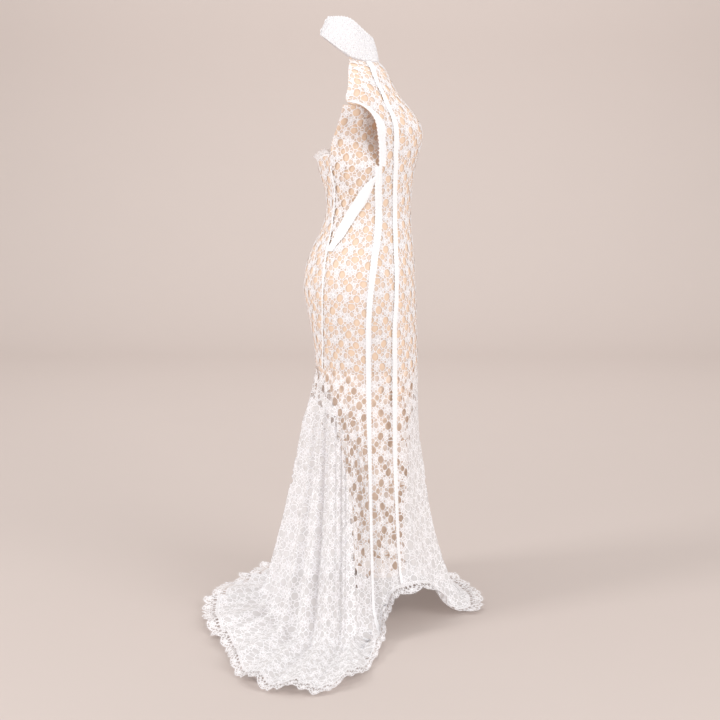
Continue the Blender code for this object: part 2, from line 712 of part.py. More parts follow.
def band_over(before, after):
    """A band's rows over the seam of two panels: the seam, and each panel's own column beside it."""
    levels = {row.level: row for row in after}
    rows = []
    for a in before:
        if a.level in levels:
            b = levels[a.level]
            shift = 360 if b.turns[0] < a.turns[0] - 180 else 0
            turns = [a.turns[-2], (a.turns[-1] + b.turns[0] + shift) / 2, b.turns[1] + shift]
            courses = [a.courses[-2], (a.courses[-1] + b.courses[0]) / 2, b.courses[1]]
            rows.append(Row(turns, courses, a.level))
    return rows


def band_layers(rows, last=1.0):
    """A band's points on the lace, with its last row drawn in to a share of the last space."""
    layers = wall_layers(gown, rows, LACE + LAYER_GAP, LACE + LAYER_GAP + BAND)
    layers[-1] = tuple(before + (after - before) * last for before, after in zip(layers[-2], layers[-1]))
    return layers


def thinned(rows):
    """The rows with every second column left out, for a lining that lies inside them."""
    result = []
    for row in rows:
        keep = sorted({0, len(row.turns) - 1} | set(range(1, len(row.turns) - 1, 2)))
        result.append(Row(row.turns[keep], row.courses[keep]))
    return result


def build_panels(lace):
    panels = {"centre_front": centre_front_rows()}
    for side in ("right", "left"):
        panels["side_front_" + side] = side_front_rows(side)
        panels["side_back_" + side] = side_back_rows(side)
        panels["godet_" + side] = godet_rows("godet_" + side)
    for name, rows in panels.items():
        build_wall("lace_" + name, wall_layers(gown, rows, 0, LACE), lace, cut=True)
    build_wall("lace_centre_back", wall_layers(gown, centre_back_rows(), 0, LACE), lace, cut=True)
    add_pair("lace_upper_back", wall_layers(wing, wing_rows(), 0, LACE), lace, cut=True)
    return panels


def build_lining(nude):
    def behind(rows):
        return wall_layers(gown, thinned(rows), -LINING_GAP - LINING, -LINING_GAP)

    body_rows = len(BODY_COURSES) + 1
    build_wall("lining_centre_front", behind(centre_front_rows()[:body_rows]), nude)
    add_pair("lining_side_front", behind(side_front_body()), nude)
    add_pair("lining_side_back", behind(side_back_body()), nude)
    upper_back = wall_layers(wing, wing_rows(), -WING_LINING_GAP - LINING, -WING_LINING_GAP)
    add_pair("lining_upper_back", upper_back, nude)
    build_wall("lining_centre_back", behind(centre_back_rows()), nude)


def build_slip(nude):
    """The lining's skirt, a slim tube in two halves that hangs inside the lace."""
    table = Table("height front middle back half_width", SLIP)
    for name, start in (("slip_right", 0), ("slip_left", 180)):
        layers = []
        turn = start + np.linspace(SLIP_SEAM, 180 - SLIP_SEAM, SLIP_COLUMNS + 1)
        angle = np.radians(turn)
        forward, side = np.cos(angle), np.sin(angle)
        for height, *_ in SLIP:
            middle = table.at("middle", height)
            reach = np.where(forward > 0, table.at("front", height) - middle, middle - table.at("back", height))
            rings = []
            for inset in (LINING, 0):
                rings.append(np.stack([middle + (reach - inset) * forward,
                                       -(table.at("half_width", height) - inset) * side,
                                       height + 0 * forward], axis=-1))
            layers.append(tuple(rings))
        build_wall(name, layers, nude)


def build_bands(look, panels):
    right, left = panels["side_front_right"], panels["side_front_left"]
    front = panels["centre_front"]
    build_wall("princess_band_right", band_layers(band_over(front, right)[1:], last=BAND_END_SHARE), look)
    build_wall("princess_band_left", band_layers(band_over(left, front)[1:], last=BAND_END_SHARE), look)
    underarm = [row for row in right if row.level == UNDERARM][0]
    turn, course = on_seam(SIDE, UNDERARM)
    behind = turn + SIDE_BAND_WIDTH / 2 / float(spread(gown, turn, course))
    start = Row([underarm.turns[-2], turn, behind], [course - SEAM_GAP] * 3, UNDERARM)
    side_right = [start] + band_over(right, panels["side_back_right"])
    side_left = mirror([start]) + band_over(panels["side_back_left"], left)
    build_wall("side_band_right", band_layers(side_right, last=BAND_END_SHARE), look)
    build_wall("side_band_left", band_layers(side_left, last=BAND_END_SHARE), look)
    body_rows = side_back_body()
    strip = [row for row in wing_rows() if row.level <= UNDERARM]
    strip += [row for row in body_rows if row.level < DIAGONAL_TIP]
    back_rows = [row for row in centre_back_rows() if row.level <= UNDERARM]
    strip = band_over(strip, back_rows)
    diagonal = [row for row in band_over(body_rows, wing_rows()) if row.level > DIAGONAL_TIP]
    diagonal.append(diagonal_end(body_rows))
    edge = side_front_body()[ARMHOLE_START:len(yoke_edge())]
    armhole = [Row(row.turns[-2:], row.courses[-2:]) for row in edge]
    add_pair("side_back_strip", band_layers(strip), look)
    add_pair("diagonal_band", band_layers(diagonal), look)
    add_pair("armhole_band", band_layers(armhole), look)


def diagonal_end(rows):
    """The diagonal band's last row, cut off along the side-back strip."""
    panel = [row for row in rows if row.level == DIAGONAL_TIP][0]
    turn, course = on_seam(SIDE_BACK, DIAGONAL_TIP)
    last = turn - (BACK_SEAM_WIDTH / 2 + LAYER_GAP) / float(spread(gown, turn, course))
    return Row(np.linspace(panel.turns[-2], last, 3), [course] * 3)


def build_border(name, panel_rows, look):
    """The scalloped border of one panel, joined to its hem and cut with one scallop to each column."""
    edge = panel_rows[-1]
    edge_layers = wall_layers(gown, [edge], 0, LACE)[0]
    hem_layers = wall_layers(gown, [Row(edge.turns, -train_length(edge.turns))], 0, LACE)[0]
    inner_rows, outer_rows = [], []
    f_scallop, stations = scallop_stations(edge_layers[0])
    for layer in range(2):
        top = interpolate(edge_layers[layer], stations)
        bottom = interpolate(hem_layers[layer], stations)
        top = top + away_from_edge(top, bottom - top) * BORDER_GAP
        notch = SCALLOP_DEPTH / BORDER_HEIGHT * (1 - np.abs(np.sin(math.pi * f_scallop)) ** 0.7)
        inner_rows.append(top)
        outer_rows.append(bottom + (top - bottom) * notch[:, None])
    layers = [(inner_rows[0], inner_rows[1]), (outer_rows[0], outer_rows[1])]
    build_wall(name, layers, look)


def away_from_edge(edge, towards):
    """Unit vectors square to an edge, on the side that some vectors point to."""
    along = np.gradient(edge, axis=0)
    along /= np.linalg.norm(along, axis=1, keepdims=True)
    away = towards - along * np.sum(towards * along, axis=1, keepdims=True)
    return away / np.linalg.norm(away, axis=1, keepdims=True)


def scallop_stations(points):
    """Stations along a hem in columns, and how far round its scallop each one is."""
    last = len(points) - 1
    joined_start = np.linalg.norm(points[1] - points[0]) < WIDEST_EDGE_COLUMN
    joined_end = np.linalg.norm(points[last] - points[last - 1]) < WIDEST_EDGE_COLUMN
    nodes = [0] + list(range(2 if joined_start else 1, last - (1 if joined_end else 0))) + [last]
    stations, f = [], []
    for a, b in zip(nodes[:-1], nodes[1:]):
        cuts = sorted(set(np.linspace(a, b, SCALLOP_COLUMNS + 1)[:-1]) | set(range(a, b)))
        stations += cuts
        f += [(cut - a) / (b - a) for cut in cuts]
    return np.array(f + [1.0]), np.array(stations + [float(last)])


def interpolate(points, stations):
    index = np.arange(len(points))
    return np.stack([np.interp(stations, index, points[:, axis]) for axis in range(3)], axis=-1)


def build_collar(look, front_turns):
    """A tilted ring of dense lace with a scalloped top, open at the centre back."""
    back = np.linspace(90, 180 - COLLAR_BACK_OPENING / 2, 8)[1:]
    turns = np.concatenate([-back[::-1], front_turns, back])
    angle = np.radians(turns)
    forward, side = np.cos(angle), np.sin(angle)
    foot = np.stack([COLLAR_MIDDLE + COLLAR_REACH[0] * forward, -COLLAR_REACH[1] * side,
                     collar_foot(turns)], axis=-1)
    top_x = COLLAR_TOP_MIDDLE + COLLAR_TOP_REACH[0] * forward
    scallop = COLLAR_SCALLOP * np.where(np.arange(len(turns)) % 2, 1, -1)
    top = np.stack([top_x, -COLLAR_TOP_REACH[1] * side, COLLAR_TOP.at("height", top_x) + scallop], axis=-1)
    out = np.stack([forward * COLLAR_REACH[1], -side * COLLAR_REACH[0], 0 * forward], axis=-1)
    out /= np.linalg.norm(out, axis=-1, keepdims=True)
    layers = []
    for f in (1.0, 0.5, 0.0):
        bulge = COLLAR_BULGE * math.sin(math.pi * f)
        points = foot + (top - foot) * f + out * bulge
        layers.append((points, points + out * COLLAR))
    build_wall("collar", layers, look)
    return layers


def build_buttons(look, layers):
    """Two covered buttons beside the collar's opening."""
    for name, row in (("collar_button_upper", 0), ("collar_button_lower", 1)):
        corners = [layers[row][1][-2], layers[row][1][-1], layers[row + 1][1][-1], layers[row + 1][1][-2]]
        centre = sum(corners) / 4
        across = corners[1] - corners[0]
        across /= np.linalg.norm(across)
        out = np.cross(across, corners[3] - corners[0])
        out *= np.sign(out @ (centre - HOLD)) / np.linalg.norm(out)
        down = np.cross(out, across)
        rings = []
        for reach, lift in BUTTON_RINGS:
            angles = 2 * math.pi * np.arange(BUTTON_SIDES) / BUTTON_SIDES
            ring = [centre + out * lift + BUTTON_RADIUS * reach * (across * math.cos(a) + down * math.sin(a))
                    for a in angles]
            rings.append(ring)
        points = [point for ring in rings for point in ring]
        faces = [tuple(range(BUTTON_SIDES)), tuple(reversed(range(2 * BUTTON_SIDES, 3 * BUTTON_SIDES)))]
        triangles = []
        for face in faces:
            triangles += [(face[0], face[k], face[k + 1]) for k in range(1, BUTTON_SIDES - 1)]
        for level in range(len(BUTTON_RINGS) - 1):
            for k in range(BUTTON_SIDES):
                a, b = level * BUTTON_SIDES + k, level * BUTTON_SIDES + (k + 1) % BUTTON_SIDES
                c, d = b + BUTTON_SIDES, a + BUTTON_SIDES
                triangles += [(a, d, b), (b, d, c)]
        make_object(name, points, triangles, look)


def build_gown():
    lace = make_look("lace", WHITE, 0.75)
    band = make_look("band", BAND_WHITE, 0.7)
    nude = make_look("nude_lining", NUDE, 0.8)
    panels = build_panels(lace)
    for name, rows in panels.items():
        build_border("hem_border_" + name, rows, lace)
    build_lining(nude)
    build_slip(nude)
    build_bands(band, panels)
    top = side_front_body()[0].turns
    front = centre_front_rows()[0].turns
    collar_layers = build_collar(band, np.concatenate([-top[::-1], front, top]))
    build_buttons(band, collar_layers)


for old in list(bpy.data.objects):
    bpy.data.objects.remove(old)
build_gown()
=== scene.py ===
"""The looks of the lace mermaid gown, laid on the same worn surface as its solids.

Lengths are in metres unless a name says MM. The surface is the one that the solids were made from: a turn is
an angle round the gown from the front through the wearer's right, and a course is a height over the floor, or
below zero a distance along the floor beyond the foot. The model's own frame has its origin at HOLD.
"""
import math

import bpy
import numpy as np
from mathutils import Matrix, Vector
from mathutils.geometry import delaunay_2d_cdt


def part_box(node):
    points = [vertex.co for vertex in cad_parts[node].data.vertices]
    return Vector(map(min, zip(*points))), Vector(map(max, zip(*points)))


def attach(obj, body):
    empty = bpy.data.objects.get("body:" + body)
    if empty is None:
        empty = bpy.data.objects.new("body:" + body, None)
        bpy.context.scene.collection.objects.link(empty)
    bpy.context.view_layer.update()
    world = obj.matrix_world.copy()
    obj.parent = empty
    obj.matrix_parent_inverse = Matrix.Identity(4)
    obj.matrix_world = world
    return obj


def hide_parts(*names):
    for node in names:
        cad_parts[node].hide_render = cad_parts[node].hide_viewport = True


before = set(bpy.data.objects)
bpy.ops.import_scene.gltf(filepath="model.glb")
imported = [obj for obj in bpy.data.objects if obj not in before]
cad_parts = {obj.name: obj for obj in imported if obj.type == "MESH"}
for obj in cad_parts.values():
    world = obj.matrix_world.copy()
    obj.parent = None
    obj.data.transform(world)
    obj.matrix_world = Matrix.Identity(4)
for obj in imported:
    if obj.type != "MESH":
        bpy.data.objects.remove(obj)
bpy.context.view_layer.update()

MM = 0.001

HOLD = np.array((-0.053, 0.0, 1.475))
KNEE = 0.660
FIRST_LOW_COURSE = 0.120
SHOULDER_TIP = 1.337
UNDERARM = 1.180
DIAGONAL_TIP = 0.965
CENTRE_BACK_TOP = 1.206
BACK_DIP = 0.020
BORDER_HEIGHT = 48 * MM

SIDE_BAND_WIDTH = 20 * MM
SIDE_BAND_LOW_REACH = 6.5 * MM
HIP_TO_WAIST = (0.78, 1.0)
PRINCESS_BAND_WIDTH = 15 * MM
DIAGONAL_BAND_WIDTH = 34 * MM
ARMHOLE_BAND_WIDTH = 18 * MM
BACK_SEAM_WIDTH = 6 * MM

COLLAR_REACH = (0.074, 0.062)
COLLAR_TOP_REACH = (0.0555, 0.050)
COLLAR_MIDDLE = -0.053
COLLAR_TOP_MIDDLE = -0.050
COLLAR_BACK_OPENING = 1.5

FOOT_BEND = 0.034
BEND_START = 0.20
FOLD_DEPTH = 0.030
FOLD_GROWTH = 1.4
TRAIN_RIPPLE = 0.017
SLIT_DEPTH = 0.048

# How far each layer stands off the worn surface
LACE_LIFT = 0.6 * MM
BAND_LIFT = 1.6 * MM
LINING_LIFT = -1.2 * MM
WING_LINING_LIFT = -2.9 * MM

# The narrowest strip that is cut, before its edges are turned under
LEAST_CUT = 11 * MM

# How finely the cloth is drawn
ROW_STEP = 9 * MM
COLUMN_STEP = 6 * MM
RASTER = 4 * MM
LONGEST_EDGE = 30 * MM

# How the cloth is laid flat: one point in so many, how many rounds of relaxing, and how far each round goes
FLAT_STEPS = ((24, 500), (10, 500), (5, 300))
RELAXING = 1.4

# How a flat spot is found on the cloth: known spots for each grid step, the raster's margin in its cells, the
# rounds that fill its gaps and that mend a guess, and how far off a found spot may be
KNOWN_SPOTS = 4
RASTER_MARGIN = 5
FILLING_ROUNDS = 4
MENDING_ROUNDS = 8
MENDING_REACH = 3
FOUND_WITHIN = 0.8 * MM


class Table:
    """A short table with named columns, read between its rows along a smooth curve."""

    def __init__(self, columns, rows, period=None):
        names = columns.split()
        data = np.array(rows, float)
        data = data[np.argsort(data[:, 0])]
        if period:
            data = np.vstack([data[-2:], data, data[:2]])
            data[:2, 0] -= period
            data[-2:, 0] += period
        self.period = period
        self.keys = data[:, 0]
        self.columns = {name: data[:, i] for i, name in enumerate(names)}
        self.slopes = {name: np.gradient(values, self.keys) for name, values in self.columns.items()}

    def at(self, name, key):
        key = np.asarray(key, float)
        if self.period:
            key = np.mod(key, self.period)
        keys, values, slope = self.keys, self.columns[name], self.slopes[name]
        i = np.clip(np.searchsorted(keys, key) - 1, 0, len(keys) - 2)
        span = keys[i + 1] - keys[i]
        f = np.clip((key - keys[i]) / span, 0, 1)
        start = (1 + 2 * f) * (1 - f) ** 2 * values[i] + f * (1 - f) ** 2 * span * slope[i]
        end = f ** 2 * (3 - 2 * f) * values[i + 1] + f ** 2 * (f - 1) * span * slope[i + 1]
        return start + end


SECTIONS = Table("height front middle back half_width", (
    (1.560, 0.021, -0.053, -0.127, 0.062),
    (1.440, 0.021, -0.053, -0.127, 0.062),
    (1.428, 0.034, -0.054, -0.130, 0.090),
    (1.405, 0.048, -0.055, -0.132, 0.124),
    (1.375, 0.062, -0.055, -0.134, 0.151),
    (1.337, 0.089, -0.059, -0.136, 0.166),
    (1.305, 0.116, -0.036, -0.137, 0.166),
    (1.275, 0.132, -0.018, -0.136, 0.159),
    (1.245, 0.134, -0.009, -0.135, 0.151),
    (1.200, 0.123, -0.005, -0.137, 0.144),
    (1.160, 0.1135, -0.005, -0.131, 0.138),
    (1.110, 0.108, -0.004, -0.116, 0.129),
    (1.060, 0.1055, -0.004, -0.1135, 0.123),
    (1.010, 0.108, -0.007, -0.128, 0.134),
    (0.960, 0.1135, -0.012, -0.153, 0.154),
    (0.910, 0.117, -0.017, -0.168, 0.171),
    (0.860, 0.1195, -0.019, -0.1727, 0.178),
    (0.800, 0.122, -0.017, -0.163, 0.176),
    (0.730, 0.124, -0.012, -0.150, 0.167),
    (0.660, 0.126, -0.009, -0.1426, 0.158),
))

# Where each seam runs, by its height and how far forward it lies
PRINCESS = Table("height forward", (
    (1.450, -0.0106), (1.417, 0.0026), (1.385, 0.0185), (1.344, 0.037), (1.309, 0.053), (1.286, 0.061),
    (1.227, 0.0634), (1.089, 0.061), (0.985, 0.0634), (0.873, 0.066), (0.775, 0.061), (0.660, 0.062),
))
SIDE = Table("height forward", (
    (1.200, 0.021), (1.089, 0.0198), (1.037, 0.021), (0.972, 0.0132), (0.907, 0.005), (0.828, -0.0026),
    (0.723, -0.005), (0.660, -0.004),
))
SIDE_BACK = Table("height forward", (
    (1.223, -0.103), (1.184, -0.1003), (1.135, -0.0924), (1.086, -0.090), (1.050, -0.095), (1.019, -0.0987),
    (0.954, -0.112), (0.873, -0.120), (0.775, -0.1214), (0.660, -0.1214),
))
DIAGONAL = Table("height forward", (
    (1.166, 0.021), (1.114, -0.0106), (1.058, -0.0475), (1.006, -0.079), (0.970, -0.1056), (0.954, -0.112),
))
ARMHOLE = Table("height forward", (
    (1.337, -0.056), (1.331, -0.030), (1.307, 0.0026), (1.275, 0.0145), (1.235, 0.020), (1.180, 0.021),
))
WING_EDGE = Table("height forward", (
    (1.331, -0.068), (1.294, -0.077), (1.260, -0.090), (1.223, -0.103),
))
COLLAR_FOOT = Table("forward height", (
    (-0.127, 1.508), (-0.0766, 1.470), (-0.055, 1.455), (-0.026, 1.445), (0.021, 1.440),
))
COLLAR_TOP = Table("forward height", (
    (-0.1056, 1.553), (-0.0475, 1.545), (-0.0106, 1.513), (0.0055, 1.500),
))

# The skirt by turn: its foot, its hem, how late it flares and how deep its folds are beside the deepest
SKIRT = Table("turn foot_x foot_y hem_x hem_y hem_z flare fold", (
    (0, 0.238, 0.000, 0.306, -0.015, 0.000, 2.8, 0.60),
    (12, 0.230, -0.045, 0.296, -0.070, 0.000, 2.8, 0.60),
    (24, 0.205, -0.085, 0.232, -0.100, 0.012, 2.7, 0.50),
    (36, 0.172, -0.125, 0.187, -0.140, 0.075, 2.5, 0.40),
    (48, 0.125, -0.170, 0.137, -0.186, 0.092, 2.3, 0.40),
    (60, 0.078, -0.205, 0.087, -0.225, 0.095, 2.2, 0.40),
    (72, 0.048, -0.228, 0.058, -0.252, 0.080, 2.1, 0.40),
    (84, 0.026, -0.248, 0.044, -0.286, 0.034, 2.0, 0.35),
    (94, -0.004, -0.277, 0.028, -0.385, 0.004, 1.9, 0.45),
    (104, -0.034, -0.318, -0.022, -0.555, 0.000, 1.8, 0.80),
    (115, -0.068, -0.340, -0.098, -0.656, 0.000, 1.7, 1.00),
    (126, -0.105, -0.342, -0.180, -0.672, 0.000, 1.6, 1.00),
    (136, -0.145, -0.325, -0.245, -0.645, 0.000, 1.6, 1.00),
    (145, -0.178, -0.295, -0.298, -0.585, 0.000, 1.5, 1.00),
    (152, -0.204, -0.250, -0.336, -0.500, 0.000, 1.5, 0.95),
    (159, -0.226, -0.195, -0.352, -0.405, 0.000, 1.4, 0.90),
    (166, -0.246, -0.130, -0.392, -0.300, 0.000, 1.4, 0.90),
    (174, -0.262, -0.055, -0.432, -0.170, 0.000, 1.4, 0.90),
    (182, -0.270, 0.020, -0.446, -0.050, 0.000, 1.4, 0.85),
    (194, -0.258, 0.105, -0.425, 0.080, 0.000, 1.4, 0.85),
    (208, -0.225, 0.175, -0.370, 0.200, 0.000, 1.5, 0.90),
    (224, -0.180, 0.225, -0.305, 0.325, 0.000, 1.6, 0.95),
    (240, -0.118, 0.255, -0.215, 0.420, 0.000, 1.7, 0.95),
    (256, -0.050, 0.262, -0.110, 0.450, 0.000, 1.8, 0.90),
    (272, 0.018, 0.252, 0.000, 0.430, 0.000, 2.0, 0.70),
    (288, 0.055, 0.232, 0.090, 0.370, 0.000, 2.2, 0.60),
    (304, 0.098, 0.205, 0.180, 0.310, 0.000, 2.4, 0.60),
    (320, 0.160, 0.155, 0.262, 0.225, 0.000, 2.6, 0.60),
    (340, 0.220, 0.080, 0.300, 0.110, 0.000, 2.8, 0.60),
), period=360)

# The folds between two seams of the skirt: how many, and how unevenly spaced
FOLDS = {
    "centre_front": (3, 0.10),
    "side_front_right": (2, 0.06),
    "side_back_right": (4, 0.05),
    "godet_right": (3, -0.05),
    "godet_left": (3, 0.05),
    "side_back_left": (4, -0.05),
    "side_front_left": (2, 0.06),
}

# How many scallops the hem border has below each panel
SCALLOPS = {"centre_front": 12, "side_front": 6, "side_back": 16, "godet": 12}

# The slip below the knee, from just under the lining's edge to its hem
SLIP = Table("height front middle back half_width", (
    (0.6595, 0.1236, -0.009, -0.1402, 0.1556),
    (0.560, 0.112, 0.005, -0.098, 0.144),
    (0.450, 0.105, 0.010, -0.080, 0.132),
    (0.300, 0.100, 0.020, -0.056, 0.122),
    (0.110, 0.096, 0.026, -0.042, 0.116),
))

# The heights of the courses on the body, on the upper side-back panel and along the armhole

BODY_COURSES = (1.395, 1.350, 1.305, 1.265, 1.225, UNDERARM, 1.142, 1.110, 1.062, 1.012, DIAGONAL_TIP,
                0.905, 0.845, 0.785, 0.723, KNEE)
WING_TOP_COURSES = (1.330, 1.305, 1.270, 1.238, CENTRE_BACK_TOP, UNDERARM)
YOKE_EDGE_HEIGHTS = (1.390, SHOULDER_TIP + 3 * MM, 1.328, 1.300, 1.255, UNDERARM)
ARMHOLE_START = 2


# The worn surface

def oval(sections, turn, height):
    """A point of a tube that a table of sections gives."""
    angle = np.radians(turn)
    forward, side = np.cos(angle), np.sin(angle)
    middle = sections.at("middle", height)
    reach = np.where(forward > 0, sections.at("front", height) - middle, middle - sections.at("back", height))
    return np.stack([middle + reach * forward, -sections.at("half_width", height) * side,
                     height + 0 * forward], axis=-1)


def body(turn, height):
    """The worn surface of the bodice and hips."""
    return oval(SECTIONS, turn, height)


def train_length(turn):
    run = [SKIRT.at("hem_" + axis, turn) - SKIRT.at("foot_" + axis, turn) for axis in "xy"]
    return np.hypot(*run)


def skirt_line(turn, course):
    """A line of the skirt: down from the knee to its foot, then straight on along the floor."""
    knee = body(turn, KNEE)
    foot = np.stack([SKIRT.at("foot_x", turn), SKIRT.at("foot_y", turn), SKIRT.at("hem_z", turn)], axis=-1)
    hem = np.stack([SKIRT.at("hem_x", turn), SKIRT.at("hem_y", turn), SKIRT.at("hem_z", turn)], axis=-1)
    fall = np.clip(1 - course / KNEE, 0, 1)
    reach = fall ** SKIRT.at("flare", turn)
    standing = knee + (foot - knee) * reach[..., None]
    standing[..., 2] = knee[..., 2] + (foot[..., 2] - knee[..., 2]) * fall
    along = np.maximum(-course, 0) / train_length(turn)
    return standing + (hem - foot) * along[..., None]


def carrier(turn, course):
    """The gown's surface without its folds, softly bent where the cloth meets the floor."""
    turn, course = np.broadcast_arrays(np.asarray(turn, float), np.asarray(course, float))
    if np.all(course >= KNEE):
        return body(turn, course)
    bend = FOOT_BEND * np.clip((BEND_START - course) / BEND_START * 2, 0, 1)
    steps = (-1, -0.5, 0, 0.5, 1)
    skirt = sum(skirt_line(turn, np.minimum(course, KNEE) + bend * step) for step in steps) / len(steps)
    return np.where((course >= KNEE)[..., None], body(turn, np.maximum(course, KNEE)), skirt)


def seam_turn(seam, height):
    """The turn at which a seam on the right lies at a height, from how far forward it is there."""
    forward = seam.at("forward", height)
    middle = SECTIONS.at("middle", height)
    reach = np.where(forward > middle, SECTIONS.at("front", height) - middle,
                     middle - SECTIONS.at("back", height))
    return np.degrees(np.arccos(np.clip((forward - middle) / reach, -1, 1)))


PRINCESS_TURN = float(seam_turn(PRINCESS, KNEE))
SIDE_TURN = float(seam_turn(SIDE, KNEE))
SIDE_BACK_TURN = float(seam_turn(SIDE_BACK, KNEE))
SKIRT_SEAMS = {
    "centre_front": (-PRINCESS_TURN, PRINCESS_TURN),
    "side_front_right": (PRINCESS_TURN, SIDE_TURN),
    "side_back_right": (SIDE_TURN, SIDE_BACK_TURN),
    "godet_right": (SIDE_BACK_TURN, 180),
    "godet_left": (180, 360 - SIDE_BACK_TURN),
    "side_back_left": (360 - SIDE_BACK_TURN, 360 - SIDE_TURN),
    "side_front_left": (360 - SIDE_TURN, 360 - PRINCESS_TURN),
}


def fold_wave(turn):
    """The folds round the skirt, 0 in a trough and 1 on a crest, times their depth beside the deepest."""
    turn = np.mod(turn + PRINCESS_TURN, 360) - PRINCESS_TURN
    wave = np.zeros_like(turn)
    for panel, (start, end) in SKIRT_SEAMS.items():
        count, skew = FOLDS[panel]
        f = (turn - start) / (end - start)
        inside = (f >= 0) & (f <= 1)
        phase = count * (f + skew * np.sin(2 * math.pi * f))
        wave = np.where(inside, (1 - np.cos(2 * math.pi * phase)) / 2, wave)
    return wave * SKIRT.at("fold", turn)


def low_course(turn, step):
    """A course between the lowest level one, at step 0, and the panels' hem, at step 1."""
    panel_hem = BORDER_HEIGHT - train_length(turn)
    return FIRST_LOW_COURSE + (panel_hem - FIRST_LOW_COURSE) * step


def wing(turn, height):
    """The upper side-back panel on the right, drawn inboard of the armhole band, which leaves the armhole."""
    point = body(turn, height)
    f = np.clip((height - UNDERARM) / (SHOULDER_TIP - UNDERARM), 0, 1)
    front, back = seam_turn(ARMHOLE, height), seam_turn(WING_EDGE, height)
    inboard = SLIT_DEPTH * np.sin(math.pi * f) * np.clip((back - turn) / (back - front), 0, 1.2)
    point[..., 1] *= 1 - inboard / SECTIONS.at("half_width", height)
    return point


def unit(vectors):
    return vectors / np.maximum(np.linalg.norm(vectors, axis=-1, keepdims=True), 1e-12)


def grid_normals(points):
    """Unit vectors out of a grid whose rows run down the gown and whose columns run with the turn."""
    return unit(np.cross(np.gradient(points, axis=1), np.gradient(points, axis=0)))


# The crisp creases of the skirt: the turn of each, its half width in degrees, its height in millimetres, the
# height over the floor where it starts, and how far it leans round the skirt on its way down
CREASES = (
    (-21, 2.1, 8, 0.50, 2), (-8, 1.9, 10, 0.46, -1), (6, 2.2, 10, 0.52, 1), (19, 1.9, 8, 0.44, 2),
    (33, 1.9, 5, 0.40, 0), (47, 1.8, 8, 0.46, 1), (58, 1.6, 8, 0.42, 2), (69, 1.6, 8, 0.48, 0),
    (79, 1.6, 8, 0.44, 2), (91, 1.9, 13, 0.56, 2), (97, 1.7, 16, 0.62, 1), (102, 1.7, 13, 0.58, 3),
    (108, 1.9, 21, 0.66, 1), (114, 1.7, 16, 0.60, 2), (119, 1.7, 18, 0.66, 3), (125, 1.9, 21, 0.69, 1),
    (131, 1.7, 16, 0.62, 2), (137, 1.9, 21, 0.67, 3), (143, 1.9, 18, 0.64, 1), (150, 2.1, 21, 0.68, 2),
    (157, 1.9, 18, 0.62, 1), (164, 2.1, 21, 0.66, 1), (171, 1.9, 18, 0.63, 0), (178, 2.1, 18, 0.66, 0),
    (186, 2.1, 21, 0.64, -1), (194, 1.9, 18, 0.67, -1), (202, 2.1, 21, 0.63, -2), (210, 1.9, 18, 0.66, -1),
    (218, 1.9, 21, 0.64, -2), (226, 1.9, 18, 0.67, -3), (235, 1.9, 18, 0.62, -1), (243, 1.7, 16, 0.66, -2),
    (251, 1.9, 18, 0.60, -3), (260, 1.9, 13, 0.62, -1), (270, 1.9, 12, 0.56, -2), (281, 2.1, 9, 0.46, 0),
    (292, 1.6, 8, 0.44, -2), (303, 1.8, 8, 0.42, 1), (316, 1.9, 8, 0.48, 0), (328, 1.9, 5, 0.40, -1),
)
# How much wider a crease is on its slack side, the height over which it grows and the power of that growth,
# and how much of it the floor flattens
SLACK_SIDE = 2.0
CREASE_GROWTH = 0.14
CREASE_POWER = 1.5
FLATTENED_SHARE = 0.3


def falling(courses):
    """How far the cloth has fallen: 0 at the knee and 1 at the foot."""
    return np.clip(1 - courses / KNEE, 0, 1)


def lying(courses):
    """How much of the cloth's weight the floor carries, from 0 to 1."""
    return np.clip(0.5 - courses / FIRST_LOW_COURSE, 0, 1)


def creased(turns, courses):
    """How far the creases stand off the folded cloth: steep on one side and slack on the other."""
    rise = np.zeros_like(turns)
    for turn, width, height, start, lean in CREASES:
        off = np.mod(turns - turn - lean * falling(courses) + 180, 360) - 180
        shape = np.where(off < 0, np.exp(off / width), np.exp(-off / (SLACK_SIDE * width)))
        grown = np.clip((start - courses) / CREASE_GROWTH, 0, 1) ** CREASE_POWER
        rise = np.maximum(rise, height * MM * shape * grown * (1 - FLATTENED_SHARE * lying(courses)))
    return rise


def folded(turns, courses):
    """The worn surface with its folds and creases on a grid of turns and courses."""
    base = carrier(turns, courses)
    flat = lying(courses)
    depth = FOLD_DEPTH * (1 - flat) + TRAIN_RIPPLE * flat
    rise = depth * falling(courses) ** FOLD_GROWTH * (fold_wave(turns) - 0.5 * (1 - flat))
    return base + grid_normals(base) * (rise + creased(turns, courses))[..., None]


# Cloth grids

def lookup(table, first, second):
    """Values of a 2-D or 3-D table between its rows and columns."""
    i = np.clip(first, 0, table.shape[0] - 1)
    j = np.clip(second, 0, table.shape[1] - 1)
    i0 = np.minimum(i.astype(int), table.shape[0] - 2)
    j0 = np.minimum(j.astype(int), table.shape[1] - 2)
    u, v = i - i0, j - j0
    if table.ndim == 3:
        u, v = u[..., None], v[..., None]
    upper = table[i0, j0] * (1 - v) + table[i0, j0 + 1] * v
    lower = table[i0 + 1, j0] * (1 - v) + table[i0 + 1, j0 + 1] * v
    return upper * (1 - u) + lower * u


def coarse_indices(count, cell):
    return np.unique(np.linspace(0, count - 1, max(3, count // cell + 1)).round().astype(int))


